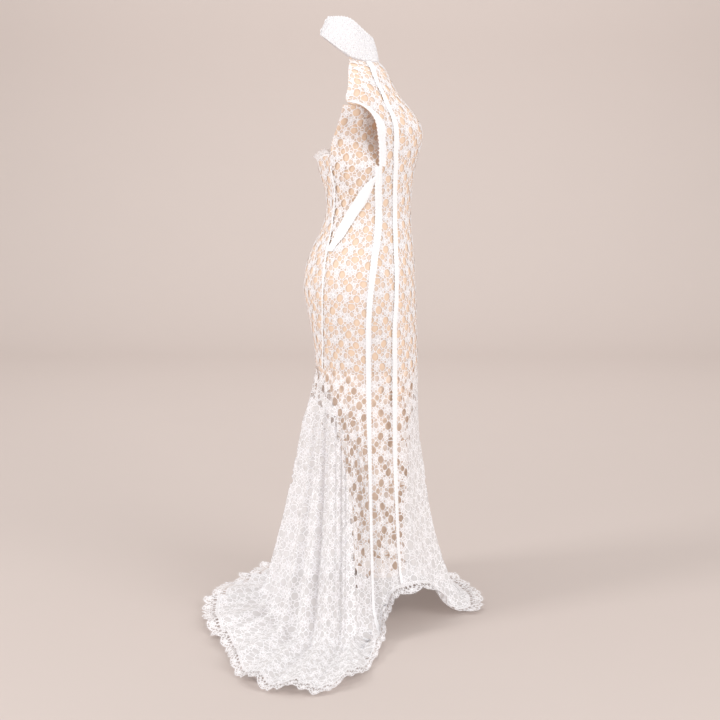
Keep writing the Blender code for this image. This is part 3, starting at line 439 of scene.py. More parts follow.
def laid_flat(points, base, level_row):
    """Where each point of a grid lies when the cloth is spread flat: across and down, near its true lengths.

    The base is the same grid without folds, which gives the angles between rows and columns. The grid is
    relaxed from a few points to more, until the links between neighbours have their lengths."""
    steps = np.linalg.norm(np.diff(points, axis=1), axis=-1)
    across = np.concatenate([np.zeros((len(points), 1)), np.cumsum(steps, axis=1)], axis=1)
    across -= across[:, across.shape[1] // 2][:, None]
    steps = np.linalg.norm(np.diff(points, axis=0), axis=-1)
    down = np.concatenate([np.zeros((1, points.shape[1])), np.cumsum(steps, axis=0)], axis=0)
    down -= down[level_row]
    flat = np.stack([across, down], axis=-1)
    for cell, rounds in FLAT_STEPS:
        rows, columns = (coarse_indices(count, cell) for count in points.shape[:2])
        grid = np.ix_(rows, columns)
        row_run, column_run = np.diff(base[grid], axis=1), np.diff(base[grid], axis=0)
        row_length, column_length = np.diff(across[grid], axis=1), np.diff(down[grid], axis=0)
        row_run = unit(row_run) * row_length[..., None]
        column_run = unit(column_run) * column_length[..., None]
        links = [
            ((slice(None), slice(None, -1)), (slice(None), slice(1, None)), row_length),
            ((slice(None, -1), slice(None)), (slice(1, None), slice(None)), column_length),
            ((slice(None, -1), slice(None, -1)), (slice(1, None), slice(1, None)),
             np.linalg.norm(row_run[:-1] + column_run[:, 1:], axis=-1)),
            ((slice(None, -1), slice(1, None)), (slice(1, None), slice(None, -1)),
             np.linalg.norm(column_run[:, :-1] - row_run[:-1], axis=-1)),
        ]
        spots = flat[grid]
        count = np.zeros(spots.shape[:2])
        for a, b, _ in links:
            count[a] += 1
            count[b] += 1
        for _ in range(rounds):
            move = np.zeros_like(spots)
            for a, b, length in links:
                run = spots[b] - spots[a]
                now = np.maximum(np.linalg.norm(run, axis=-1), 1e-9)
                push = run * ((now - length) / now / 2)[..., None]
                move[a] += push
                move[b] -= push
            spots = spots + move / count[..., None] * RELAXING
        row_at = np.interp(np.arange(points.shape[0]), rows, np.arange(len(rows)))
        column_at = np.interp(np.arange(points.shape[1]), columns, np.arange(len(columns)))
        flat = lookup(spots, *np.meshgrid(row_at, column_at, indexing="ij"))
    return flat - flat[level_row, flat.shape[1] // 2]


class Cloth:
    """A piece of the worn surface as a grid of points, with its normals, the same grid without folds and the
    row that is level when it is laid flat.
    """

    def __init__(self, points, base=None, level_row=0, normals=None):
        self.points = points - HOLD
        self.normals = grid_normals(points) if normals is None else normals
        self.base = points if base is None else base
        self.level_row = level_row

    def part(self, start, end, level_row=0):
        """The same cloth with only some of its rows."""
        return Cloth(self.points[start:end] + HOLD, self.base[start:end], level_row, self.normals[start:end])

    def place(self, row, column, lift):
        point = lookup(self.points, row, column)
        normal = unit(lookup(self.normals, row, column))
        return point + normal * np.asarray(lift)[..., None]

    def run(self, axis):
        return np.linalg.norm(np.diff(self.points, axis=axis), axis=-1).sum(axis=axis)

    def width(self):
        return float(self.run(1).max())

    def length(self):
        return float(self.run(0).mean())

    def area(self):
        p = self.points
        first = np.cross(p[1:, :-1] - p[:-1, :-1], p[:-1, 1:] - p[:-1, :-1])
        second = np.cross(p[1:, 1:] - p[:-1, 1:], p[1:, 1:] - p[1:, :-1])
        return float((np.linalg.norm(first, axis=-1) + np.linalg.norm(second, axis=-1)).sum() / 2)

    def find(self, flat, spots):
        """The row and column of each flat spot, and whether it is on the cloth.

        A raster of known spots gives the first guess, and Newton's steps mend it."""
        rows, columns = flat.shape[:2]
        fine = np.meshgrid(*(np.linspace(0, n - 1, n * KNOWN_SPOTS) for n in (rows, columns)), indexing="ij")
        known = lookup(flat, *fine)
        low = known.min(axis=(0, 1)) - RASTER * RASTER_MARGIN
        size = ((known.max(axis=(0, 1)) - low) / RASTER).astype(int) + RASTER_MARGIN + 1
        guess = np.full((*size, 2), np.nan)
        cell = ((known - low) / RASTER).astype(int)
        guess[cell[..., 0], cell[..., 1]] = np.stack(fine, axis=-1)
        for _ in range(FILLING_ROUNDS):
            for axis, shift in ((0, 1), (0, -1), (1, 1), (1, -1)):
                empty = np.isnan(guess[..., 0])
                guess[empty] = np.roll(guess, shift, axis)[empty]
        cell = np.clip(((spots - low) / RASTER).astype(int), 0, size - 1)
        start = guess[cell[:, 0], cell[:, 1]]
        known = ~np.isnan(start[:, 0])
        row, column = np.where(known[:, None], start, 0).T
        by_row, by_column = np.gradient(flat, axis=0), np.gradient(flat, axis=1)
        for _ in range(MENDING_ROUNDS):
            error = spots - lookup(flat, row, column)
            a, b = lookup(by_row, row, column), lookup(by_column, row, column)
            det = a[:, 0] * b[:, 1] - a[:, 1] * b[:, 0]
            det = np.where(np.abs(det) < 1e-9, 1e-9, det)
            row_step = (error[:, 0] * b[:, 1] - error[:, 1] * b[:, 0]) / det
            column_step = (a[:, 0] * error[:, 1] - a[:, 1] * error[:, 0]) / det
            row = np.clip(row + np.clip(row_step, -MENDING_REACH, MENDING_REACH), 0, rows - 1)
            column = np.clip(column + np.clip(column_step, -MENDING_REACH, MENDING_REACH), 0, columns - 1)
        error = np.linalg.norm(spots - lookup(flat, row, column), axis=-1)
        return row, column, known & (error < FOUND_WITHIN)


def spread_at(turn, course):
    """Metres of cloth for each degree of turn."""
    return float(np.linalg.norm(carrier(turn + 0.2, course) - carrier(turn - 0.2, course)) / 0.4)


def on_seam(seam, height):
    return float(seam_turn(seam, height)), float(height)


def collar_foot(turn):
    forward = COLLAR_MIDDLE + COLLAR_REACH[0] * np.cos(np.radians(turn))
    return COLLAR_FOOT.at("height", forward)


def neckline(turn):
    return collar_foot(turn) - 1.5 * MM


def princess_points():
    top_turn = float(seam_turn(PRINCESS, PRINCESS.keys[-1]))
    return [(top_turn, float(neckline(top_turn)))] + [on_seam(PRINCESS, height) for height in BODY_COURSES]


def yoke_edge():
    points = [(90.0, float(neckline(90)))] + [(90.0, height) for height in YOKE_EDGE_HEIGHTS[:2]]
    return points + [on_seam(ARMHOLE, height) for height in YOKE_EDGE_HEIGHTS[2:]]


def front_skeleton():
    return [((-turn, height), (turn, height)) for turn, height in princess_points()]


def side_front_skeleton():
    edge = yoke_edge()
    ends = edge + [on_seam(SIDE, height) for height in BODY_COURSES[len(edge) - 1:]]
    return list(zip(princess_points(), ends))


def side_back_skeleton():
    heights = [height for height in BODY_COURSES if height < UNDERARM]
    return [(on_seam(SIDE, height), on_seam(DIAGONAL if height >= DIAGONAL_TIP else SIDE_BACK, height))
            for height in heights]


def wing_skeleton():
    rows = []
    for height in WING_TOP_COURSES + tuple(c for c in BODY_COURSES if DIAGONAL_TIP <= c < UNDERARM):
        start = on_seam(ARMHOLE if height >= UNDERARM else DIAGONAL, height)
        end = on_seam(WING_EDGE if height > CENTRE_BACK_TOP else SIDE_BACK, height)
        rows.append((start, end))
    return rows


def centre_back_skeleton():
    rows = []
    for height in (CENTRE_BACK_TOP,) + tuple(c for c in BODY_COURSES if c <= UNDERARM):
        turn, _ = on_seam(SIDE_BACK, height)
        rows.append(((turn, height), (360 - turn, height)))
    return rows


def mirror(skeleton):
    return [((360 - b[0], b[1]), (360 - a[0], a[1])) for a, b in skeleton]


def body_grid(skeleton, columns, top_edge=None, step=ROW_STEP):
    """Turns and courses of many fine rows between the few of a skeleton."""
    table = Table("row start_turn start_course end_turn end_course",
                  [(i, *a, *b) for i, (a, b) in enumerate(skeleton)])
    keys = []
    for i in range(len(skeleton) - 1):
        fall = max(abs(skeleton[i][k][1] - skeleton[i + 1][k][1]) for k in range(2))
        count = max(1, math.ceil(fall / step))
        keys += [i + k / count for k in range(count)]
    keys = np.array(keys + [len(skeleton) - 1])[:, None]
    f = np.linspace(0, 1, columns)[None, :]
    values = {name: table.at(name, keys) for name in table.columns if name != "row"}
    turns = values["start_turn"] * (1 - f) + values["end_turn"] * f
    courses = values["start_course"] * (1 - f) + values["end_course"] * f
    if top_edge is not None:
        fade = np.clip(1 - keys, 0, 1)
        courses = courses + fade * (top_edge(turns[:1], f) - courses[:1])
    return turns, courses


def skirt_grid(panel, columns):
    """Turns and courses from under the knee to the panel's hem, and then down its border."""
    start, end = SKIRT_SEAMS[panel]
    turns = start + (end - start) * np.linspace(0, 1, columns)
    levels = np.linspace(KNEE, FIRST_LOW_COURSE, round((KNEE - FIRST_LOW_COURSE) / ROW_STEP))[1:]
    standing = np.repeat(levels[:, None], columns, axis=1)
    longest = float((FIRST_LOW_COURSE + train_length(turns)).max())
    steps = np.linspace(0, 1, math.ceil(longest / ROW_STEP))[1:, None]
    lying = low_course(turns[None, :], steps)
    border = np.linspace(0, 1, 9)[1:, None]
    hem = low_course(turns[None, :], 1) * (1 - border) - train_length(turns)[None, :] * border
    courses = np.concatenate([standing, lying, hem])
    return np.repeat(turns[None, :], len(courses), axis=0), courses, len(border)


def neck_edge(turns, f):
    return neckline(turns)


def back_edge(turns, f):
    return CENTRE_BACK_TOP - BACK_DIP * np.sin(math.pi * f) ** 2


def panel_columns(panel):
    start, end = SKIRT_SEAMS[panel]
    turns = np.linspace(start, end, 60)
    hem = np.stack([SKIRT.at("hem_x", turns), SKIRT.at("hem_y", turns)], axis=-1)
    return int(np.linalg.norm(np.diff(hem, axis=0), axis=1).sum() * 1.15 / COLUMN_STEP) + 8


def long_panel(panel, skeleton, top_edge=None):
    """The cloth of a panel from its top to the hem, and the row where its border starts."""
    columns = panel_columns(panel)
    skirt_turns, skirt_courses, border = skirt_grid(panel, columns)
    if skeleton:
        turns, courses = body_grid(skeleton, columns, top_edge)
        level_row = len(turns) - 1
        turns, courses = np.vstack([turns, skirt_turns]), np.vstack([courses, skirt_courses])
    else:
        turns, courses = skirt_turns, skirt_courses
        level_row = 0
    cloth = Cloth(folded(turns, courses), carrier(turns, courses), level_row)
    return cloth, len(turns) - 1 - border


# The lace

# One repeat of the lace in millimetres: the middle of each cell between the threads, and how large it is
# beside its neighbours. The repeat after it down the cloth is its mirror image.
REPEAT_WIDTH = 82.0
REPEAT_HEIGHT = 60.0
THREAD = 1.35
CELL_STRETCH = 0.78
LARGE_CELL = 4.5
GOLDEN_SHARE = 0.618
# Where the veil behind the lace begins and where it fills every cell: over the slip, and beside it
LOW_VEIL = (0.26, 0.13)
HIGH_VEIL = (0.68, 0.52)
VEIL_BLEND = 0.025
# The kinds of cells: left open, filled with net, dense, or filled with sheer net. Their looks are 0 for
# thread, 1 for net, 2 for sheer net and 3 for nothing.
OPEN, NET_CELL, DENSE, SHEER_CELL = range(4)
KIND_LOOKS = {OPEN: 3, NET_CELL: 1, DENSE: 0, SHEER_CELL: 2}
HEXAGONS = (
    (0, 44, 9.0), (42, 43, 8.6), (28, 3, 9.4), (61, 17, 9.4), (70, 3, 7.6), (54, 55, 7.4),
)
SHEER_GAPS = (
    (20, 56, 6.4), (12, 14, 6.8), (48, 27, 6.6), (30, 24, 5.8),
)
SMALL_GAPS = (
    (8.5, 55, 4.0), (33, 54, 4.0), (43, 12, 4.4), (38, 31, 3.8), (58, 43, 4.4), (76, 51, 4.6), (22, 15, 4.0),
    (7, 31, 3.8), (79, 13, 4.0), (58, 29, 3.4), (33, 14, 3.0), (73, 26, 3.6), (64, 57, 3.6), (44, 56, 3.4),
    (80, 31, 3.2), (28, 48, 3.6), (50, 1, 3.6), (14, 1, 4.4), (14, 48, 3.6), (81, 0, 3.4), (46, 19, 3.0),
)
# Flowers: the middle, how far out the petals are and how many there are
FLOWERS = ((18, 34, 6.4, 6), (68, 39, 5.8, 6), (2, 23, 4.8, 5), (52, 9, 4.2, 5))
# Leaves: each a row of veined cells from its stem to its tip
LEAVES = (
    ((31, 40), (34, 35)), ((37, 21), (39, 16)), ((50, 36), (53, 40)), ((71, 14), (73, 19)),
    ((5, 4), (8, 8)), ((66, 49), (69, 53)), ((27, 30), (30, 34)), ((6, 36), (9, 40)),
)
PETAL = 3.0
FLOWER_EYE = 1.7
LEAF_CELL = 2.7
# The room that a cell may take, how far off a neighbour still bounds it, the shortest edge that it keeps, how
# much of an edge a rounded corner takes, and the smallest triangle that is kept
CELL_ROOM = 20.0
NEIGHBOUR_REACH = 34
SHORTEST_EDGE = 0.7
CORNER_SHARE = 0.24
SMALLEST_TRIANGLE = 1e-4


def lace_sites():
    """Middles, sizes and kinds of the cells of one repeat."""
    sites = [(x, y, size, OPEN) for x, y, size in HEXAGONS]
    sites += [(x, y, size, SHEER_CELL) for x, y, size in SHEER_GAPS + SMALL_GAPS]
    for x, y, reach, petals in FLOWERS:
        sites.append((x, y, FLOWER_EYE, DENSE))
        for k in range(petals):
            angle = 2 * math.pi * (k + 0.3) / petals
            petal = (x + reach * math.cos(angle), y + reach * math.sin(angle) / CELL_STRETCH)
            sites.append((*petal, PETAL, NET_CELL))
    sites += [(x, y, LEAF_CELL, NET_CELL) for leaf in LEAVES for x, y in leaf]
    return sites


def cut_back(polygon, direction, reach):
    """The part of a convex polygon that lies less far than a reach in a direction."""
    kept = []
    far = polygon @ direction - reach
    for k in range(len(polygon)):
        after = (k + 1) % len(polygon)
        if far[k] <= 0:
            kept.append(polygon[k])
        if (far[k] <= 0) != (far[after] <= 0):
            share = far[k] / (far[k] - far[after])
            kept.append(polygon[k] + (polygon[after] - polygon[k]) * share)
    return np.array(kept).reshape(-1, 2)


def cells_of(sites, period, thread=THREAD):
    """The cells round some sites that repeat across and down, each drawn in by half a thread."""
    near = [(x + i * period[0], y + j * period[1], size) for x, y, size, _ in sites
            for i in (-1, 0, 1) for j in ((-1, 0, 1) if period[1] else (0,))]
    spots = np.array([(x, y * CELL_STRETCH) for x, y, _ in near])
    sizes = np.array([size for *_, size in near])
    cells = []
    for x, y, size, kind in sites:
        offset = spots - (x, y * CELL_STRETCH)
        away = np.linalg.norm(offset, axis=1)
        polygon = CELL_ROOM * np.array([(-1, -1), (1, -1), (1, 1), (-1, 1)])
        for k in np.argsort(away):
            if 0.01 < away[k] < NEIGHBOUR_REACH and len(polygon):
                reach = (away[k] ** 2 + size ** 2 - sizes[k] ** 2) / (2 * away[k])
                polygon = cut_back(polygon, offset[k] / away[k], reach - thread / 2)
        if len(polygon) > 2 and np.ptp(polygon, axis=0).min() > thread / 2:
            shape = rounded(polygon) if size > LARGE_CELL else less_short_edges(polygon)
            if len(shape) > 2:
                cells.append((shape / (1, CELL_STRETCH) + (x, y), kind))
    return cells


def inside(points, polygon):
    """Which points lie in a polygon."""
    x, y = points[:, 0][:, None], points[:, 1][:, None]
    a, b = polygon, np.roll(polygon, -1, axis=0)
    rising = (a[:, 1] > y) != (b[:, 1] > y)
    run = np.where(b[:, 1] == a[:, 1], 1.0, b[:, 1] - a[:, 1])
    crossing = (b[:, 0] - a[:, 0]) * (y - a[:, 1]) / run + a[:, 0]
    return (rising & (x < crossing)).sum(axis=1) % 2 == 1


def less_short_edges(polygon):
    before = np.roll(polygon, 1, axis=0)
    return polygon[np.linalg.norm(polygon - before, axis=1) > SHORTEST_EDGE]


def rounded(polygon):
    """A polygon with its short edges left out and its corners cut."""
    polygon = less_short_edges(polygon)
    after = np.roll(polygon, -1, axis=0)
    near, far = 1 - CORNER_SHARE, CORNER_SHARE
    return np.stack([polygon * near + after * far, polygon * far + after * near], axis=1).reshape(-1, 2)


def charted(cells, frame_edge=()):
    """Corners, triangles, looks, cells and middles of a chart. The looks are those of KIND_LOOKS.

    A frame's edges are its outline and the inner side of its rim."""
    corners, faces = [], []
    for polygon in [cell for cell, _ in cells] + list(frame_edge):
        start = len(corners)
        corners += [Vector(corner) for corner in polygon]
        faces.append(list(range(start, len(corners))))
    points, _, triangles, *_ = delaunay_2d_cdt(corners, [], faces, 0, 1e-5)
    points = np.array([tuple(point) for point in points])
    triangles = np.array([tuple(face) for face in triangles])
    middle = points[triangles].mean(axis=1)
    area = np.abs(np.cross(points[triangles[:, 1]] - points[triangles[:, 0]],
                           points[triangles[:, 2]] - points[triangles[:, 0]])) / 2

    looks, cell_of = np.zeros(len(middle), int), np.full(len(middle), -1)
    for index, (shape, kind) in enumerate(cells):
        low, high = shape.min(axis=0), shape.max(axis=0)
        near = np.flatnonzero(((middle >= low) & (middle <= high)).all(axis=1))
        near = near[inside(middle[near], shape)]
        looks[near] = KIND_LOOKS[kind]
        cell_of[near] = index
    kept = area > SMALLEST_TRIANGLE
    if len(frame_edge):
        looks *= inside(middle, frame_edge[1])
        kept &= inside(middle, frame_edge[0]) & (looks != 3)
    return points, triangles[kept], looks[kept], cell_of[kept], middle[kept]


def lace_tile():
    """Two repeats of the lace, one over its mirror image: corners, triangles, looks and cells."""
    sites = lace_sites()
    turned = [(REPEAT_WIDTH - x, y + REPEAT_HEIGHT, size, kind) for x, y, size, kind in sites]
    own = cells_of(sites + turned, (REPEAT_WIDTH, 2 * REPEAT_HEIGHT))
    cells = [(cell + (i * REPEAT_WIDTH, j * 2 * REPEAT_HEIGHT), kind)
             for cell, kind in own for i in (-1, 0, 1) for j in (-1, 0, 1)]
    points, triangles, looks, cell_of, middle = charted(cells)
    own = (middle[:, 0] >= 0) & (middle[:, 0] < REPEAT_WIDTH)
    own &= (middle[:, 1] >= 0) & (middle[:, 1] < 2 * REPEAT_HEIGHT)
    used, renumbered = np.unique(triangles[own], return_inverse=True)
    return points[used] * MM, renumbered.reshape(-1, 3), looks[own], cell_of[own]


def weld(points, triangles):
    """Join corners that lie on each other."""
    keys = np.round(points / (0.02 * MM)).astype(np.int64)
    _, first, back = np.unique(keys, axis=0, return_index=True, return_inverse=True)
    return points[first], back.reshape(-1)[triangles]


def tiled(tile, low, high, scale=1.0):
    """The tile's corners, triangles, looks and cells repeated over a rectangle of cloth."""
    points, triangles, looks, cell_of = tile
    width, height = REPEAT_WIDTH * MM * scale, 2 * REPEAT_HEIGHT * MM * scale
    shifts = [(i * width, j * height)
              for j in range(math.floor(low[1] / height), math.ceil(high[1] / height))
              for i in range(math.floor(low[0] / width), math.ceil(high[0] / width))]
    corners = np.concatenate([points * scale + shift for shift in shifts])
    faces = np.concatenate([triangles + k * len(points) for k in range(len(shifts))])
    corners, faces = weld(corners, faces)
    cells = np.concatenate([np.where(cell_of < 0, 0, cell_of + 1 + k * (cell_of.max() + 1))
                            for k in range(len(shifts))])
    return corners, faces, np.tile(looks, len(shifts)), cells


def veil_share(points):
    """How many of the cells at some points the veil fills: all near the floor, and above it all but those
    that lie over the slip."""
    height = points[:, 2] + HOLD[2]
    low, high = (np.clip((start - height) / (start - full), 0, 1) for start, full in (LOW_VEIL, HIGH_VEIL))
    forward = points[:, 0] + HOLD[0]
    beyond = np.maximum(SLIP.at("back", height) - forward, forward - SLIP.at("front", height))
    return np.maximum(low, high * np.clip(beyond / VEIL_BLEND + 1, 0, 1))


def lay_lace(cloth, tile, scale=1.0, veiled=False):
    """The lace cut to a cloth's edge and laid on it: corners, triangles and looks.

    Where a veil lies behind it, its sheer and open cells are filled."""
    flat = laid_flat(cloth.points, cloth.base, cloth.level_row)
    corners, faces, looks, cells = tiled(tile, flat.min(axis=(0, 1)), flat.max(axis=(0, 1)), scale)
    row, column, on_cloth = cloth.find(flat, corners)
    placed = cloth.place(row, column, np.full(len(row), LACE_LIFT))
    if veiled:
        seen = on_cloth[faces].any(axis=1)
        count = np.maximum(np.bincount(cells[seen], minlength=cells.max() + 1), 1)
        spots = placed[faces[seen]].mean(axis=1)
        sums = [np.bincount(cells[seen], spots[:, k], len(count)) for k in range(3)]
        middle = np.stack(sums, axis=-1) / count[:, None]
        filled = np.mod(np.arange(len(count)) * GOLDEN_SHARE, 1) < veil_share(middle)
        looks = np.where(filled[cells] & (looks > 1), 4, looks)
    kept = on_cloth[faces].any(axis=1) & (looks != 3)
    faces, looks = faces[kept], np.minimum(looks[kept], 3)
    a, b, c = (placed[faces[:, k]] for k in range(3))
    area = np.linalg.norm(np.cross(b - a, c - a), axis=1) / 2
    longest = np.maximum.reduce([np.linalg.norm(a - b, axis=1), np.linalg.norm(b - c, axis=1),
                                 np.linalg.norm(c - a, axis=1)])
    good = (area > 1e-9) & (longest < LONGEST_EDGE)
    faces, looks = faces[good], looks[good]
    used, renumbered = np.unique(faces, return_inverse=True)
    return placed[used], renumbered.reshape(faces.shape)[:, ::-1], looks


# Objects

def make_piece(name, points, faces, looks, materials, node, slot):
    """A mesh object that stands for a node of the frame."""
    mesh = bpy.data.meshes.new(name)
    mesh.from_pydata(np.asarray(points).tolist(), [], [tuple(face) for face in np.asarray(faces).tolist()])
    for material in materials:
        mesh.materials.append(material)
    if looks is not None:
        mesh.polygons.foreach_set("material_index", np.asarray(looks, dtype=np.int32))
    mesh.polygons.foreach_set("use_smooth", np.full(len(mesh.polygons), True))
    mesh.update()
    piece = bpy.data.objects.new(name, mesh)
    bpy.context.collection.objects.link(piece)
    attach(piece, "root")
    if node:
        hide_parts(node)
    return piece


def grid_faces(rows, columns):
    """Quads of a grid."""
    i, j = np.meshgrid(np.arange(rows - 1), np.arange(columns - 1), indexing="ij")
    corner = (i * columns + j).reshape(-1)
    return np.stack([corner, corner + columns, corner + columns + 1, corner + 1], axis=-1)


def sheet_of(cloth, lift):
    points = cloth.points + cloth.normals * lift
    return points.reshape(-1, 3), grid_faces(*points.shape[:2])


def declare(cloth):
    width, length, area = max(cloth.width(), LEAST_CUT), cloth.length(), cloth.area()


# Looks

# The soft patches of a cloth's two tones, how many to the metre and how detailed, and how deep its threads are
CLOTH_PATCHES = (38.0, 3.0)
THREAD_RELIEF = 0.6 * MM


def node_of(look, kind, **values):
    node = look.node_tree.nodes.new(kind)
    for name, value in values.items():
        if name in node.inputs:
            node.inputs[name].default_value = value
        else:
            setattr(node, name, value)
    return node


def two_tones(name, shade, colour, scale, detail, **values):
    """A material of two close tones in soft patches, and the node that gives its object coordinates."""
    look = bpy.data.materials.new(name)
    look.use_nodes = True
    tree = look.node_tree
    shader = tree.nodes["Principled BSDF"]
    where = node_of(look, "ShaderNodeTexCoord")
    patches = node_of(look, "ShaderNodeTexNoise", Scale=scale, Detail=detail)
    tones = node_of(look, "ShaderNodeMix", data_type="RGBA")
    tones.inputs["A"].default_value = (*shade, 1)
    tones.inputs["B"].default_value = (*colour, 1)
    tree.links.new(where.outputs["Object"], patches.inputs["Vector"])
    tree.links.new(patches.outputs["Fac"], tones.inputs["Factor"])
    tree.links.new(tones.outputs["Result"], shader.inputs["Base Color"])
    for socket, value in values.items():
        shader.inputs[socket.replace("_", " ")].default_value = value
    return look, where


def make_look(name, colour, shade, roughness, alpha=1.0, sheen=0.25, thread=420.0, bump=0.35):
    """A woven or knitted white or nude cloth: two close tones, a fine thread relief and a soft sheen."""
    look, where = two_tones(name, shade, colour, *CLOTH_PATCHES, Roughness=roughness, Alpha=alpha,
                            Sheen_Weight=sheen, Sheen_Roughness=0.45, Specular_IOR_Level=0.25)
    links = look.node_tree.links
    threads = node_of(look, "ShaderNodeTexNoise", Scale=thread, Detail=2.0)
    relief = node_of(look, "ShaderNodeBump", Strength=bump, Distance=THREAD_RELIEF)
    links.new(where.outputs["Object"], threads.inputs["Vector"])
    links.new(threads.outputs["Fac"], relief.inputs["Height"])
    links.new(relief.outputs["Normal"], look.node_tree.nodes["Principled BSDF"].inputs["Normal"])
    return look


LACE = make_look("lace_thread", (0.93, 0.92, 0.94), (0.86, 0.85, 0.88), 0.75, alpha=0.97)
NET = make_look("lace_net", (0.94, 0.92, 0.93), (0.90, 0.87, 0.88), 0.85, alpha=0.72)
TRIM = make_look("lace_trim", (0.95, 0.945, 0.955), (0.90, 0.89, 0.91), 0.7, bump=0.5)
NUDE = make_look("nude_mesh", (0.86, 0.67, 0.52), (0.80, 0.60, 0.46), 0.8, sheen=0.1, thread=700.0)
SHEER = make_look("lace_sheer", (0.94, 0.92, 0.93), (0.90, 0.87, 0.88), 0.85, alpha=0.24)
VEIL = make_look("lace_veil", (0.94, 0.93, 0.94), (0.91, 0.89, 0.90), 0.85, alpha=0.6)
LACES = (LACE, NET, SHEER, VEIL)
# The slip's nude is the lining's nude painted lighter: painted light that stands in for the light the lace and
# skirt shade off it
SLIP_NUDE_PAINTED_LIGHT = make_look("nude_slip", (0.93, 0.76, 0.63), (0.89, 0.70, 0.57), 0.8, sheen=0.1, thread=700.0)
COLLAR_GROUND = make_look("collar_ground", (0.87, 0.855, 0.875), (0.80, 0.79, 0.82), 0.8)


# The long panels, with the lace down to the floor and the border along the hem

PANELS = {
    "centre_front": (front_skeleton(), neck_edge),
    "side_front_right": (side_front_skeleton(), neck_edge),
    "side_front_left": (mirror(side_front_skeleton()), neck_edge),
    "side_back_right": (side_back_skeleton(), None),
    "side_back_left": (mirror(side_back_skeleton()), None),
    "godet_right": (None, None),
    "godet_left": (None, None),
}

# One scallop of the hem border, in millimetres: its cells in the middle, those in its left half, which its
# right half mirrors, and the row of small cells along its top
SCALLOP_WIDTH = 56.0
SCALLOP_DEPTH = 13.0
MIDDLE_SITES = (
    (0, 15, 4.6, NET_CELL), (28, 16, 3.8, OPEN), (0, 31, 3.4, NET_CELL), (28, 30, 1.8, DENSE),
    (28, 36.5, 3.2, NET_CELL), (28, 52, 3.0, DENSE), (28, -4, 3.0, DENSE), (0, -4, 3.0, DENSE),
    (0, 42, 3.0, DENSE),
)
HALF_SITES = (
    (8, 14, 3.6, SHEER_CELL), (15, 15.5, 4.6, OPEN), (22, 13, 3.0, NET_CELL), (4, 23, 3.2, SHEER_CELL),
    (11, 24, 3.2, NET_CELL), (19, 23, 3.6, SHEER_CELL), (25, 23.5, 2.6, NET_CELL), (8, 31, 3.4, SHEER_CELL),
    (15, 30, 3.0, NET_CELL), (22, 30, 3.2, NET_CELL), (14, 37, 3.4, SHEER_CELL), (20.5, 36.5, 3.0, NET_CELL),
    (10, 42, 2.6, NET_CELL), (17.5, 43, 3.0, NET_CELL), (24.5, 43.5, 3.0, SHEER_CELL), (14, 51, 3.0, DENSE),
    (14, -4, 3.0, DENSE),
)
TOP_ROW = tuple((3.5 + 7 * k, 5, (3.4, 3.2)[k % 2], NET_CELL) for k in range(8))
BORDER_SITES = TOP_ROW + MIDDLE_SITES + HALF_SITES
BORDER_SITES += tuple((SCALLOP_WIDTH - x, y, size, kind) for x, y, size, kind in HALF_SITES)
BORDER_THREAD = 1.0
BORDER_RIM = 1.5
PICOTS = 9
PICOT_LENGTH = 6.0
PICOT_WIDTH = 1.0
PICOT_ROOT = 0.6
PICOT_LEAN = 3.0
PICOT_TAPER = 0.35
CORE_GAP = 0.02
BORDER_LIFT = LACE_LIFT + 0.4 * MM


def scallop_edge(s):
    """How far down the border reaches at each share of a scallop's width, in millimetres."""
    return BORDER_HEIGHT / MM - SCALLOP_DEPTH * (1 - np.abs(np.sin(math.pi * s)) ** 0.7)


def scallop_tile():
    """One scallop of the border with its picots: corners in shares of its size, triangles and looks."""
    s = np.linspace(0, 1, 25)
    rim = np.stack([s * SCALLOP_WIDTH, scallop_edge(s)], axis=-1)
    border = np.vstack([rim, [(SCALLOP_WIDTH, 0.0), (SCALLOP_WIDTH / 2, 0.0), (0.0, 0.0)]])
    left, right, low = CORE_GAP, SCALLOP_WIDTH - CORE_GAP, rim[0, 1] - 2 * BORDER_RIM
    core = np.vstack([[(left, low)], rim[1:-1] - (0, BORDER_RIM),
                      [(right, low), (right, BORDER_RIM), (left, BORDER_RIM)]])
    own = cells_of(BORDER_SITES, (SCALLOP_WIDTH, 0), BORDER_THREAD)
    cells = [(cell + (shift * SCALLOP_WIDTH, 0), kind) for cell, kind in own for shift in (-1, 0, 1)]
    points, triangles, looks, _, _ = charted(cells, (border, core))
    picots, picot_faces = [], []
    for k in range(PICOTS):
        s = (k + 0.5) / PICOTS
        x, y = s * SCALLOP_WIDTH, float(scallop_edge(s))
        lean = (s - 0.5) * PICOT_LEAN
        root, waist = PICOT_WIDTH / 2, PICOT_WIDTH * PICOT_TAPER
        start = len(points) + len(picots)
        picots += [(x - root, y - PICOT_ROOT), (x + root, y - PICOT_ROOT),
                   (x + lean / 2 + waist, y + PICOT_LENGTH / 2), (x + lean / 2 - waist, y + PICOT_LENGTH / 2),
                   (x + lean, y + PICOT_LENGTH)]
        picot_faces += [(start, start + 1, start + 2), (start, start + 2, start + 3),
                        (start + 3, start + 2, start + 4)]
    points = np.vstack([points, picots]) / (SCALLOP_WIDTH, BORDER_HEIGHT / MM)
    looks = np.concatenate([looks, np.zeros(len(picot_faces), int)])
    return points, np.vstack([triangles, picot_faces]), looks


def lay_border(cloth, count, tile):
    """The scalloped border under a panel's hem, with one more row past its edge for the picots."""
    points, triangles, looks = tile
    beyond = 2 * cloth.points[-1] - cloth.points[-2]
    grid = Cloth(np.concatenate([cloth.points, beyond[None]]) + HOLD)
    corners = np.concatenate([points + (k, 0) for k in range(count)])
    faces = np.concatenate([triangles + k * len(points) for k in range(count)])
    rows, columns = cloth.points.shape[:2]
    row, column = corners[:, 1] * (rows - 1), corners[:, 0] / count * (columns - 1)
    return grid.place(row, column, np.full(len(row), BORDER_LIFT)), faces, np.tile(looks, count)


TILE = lace_tile()
SCALLOP = scallop_tile()

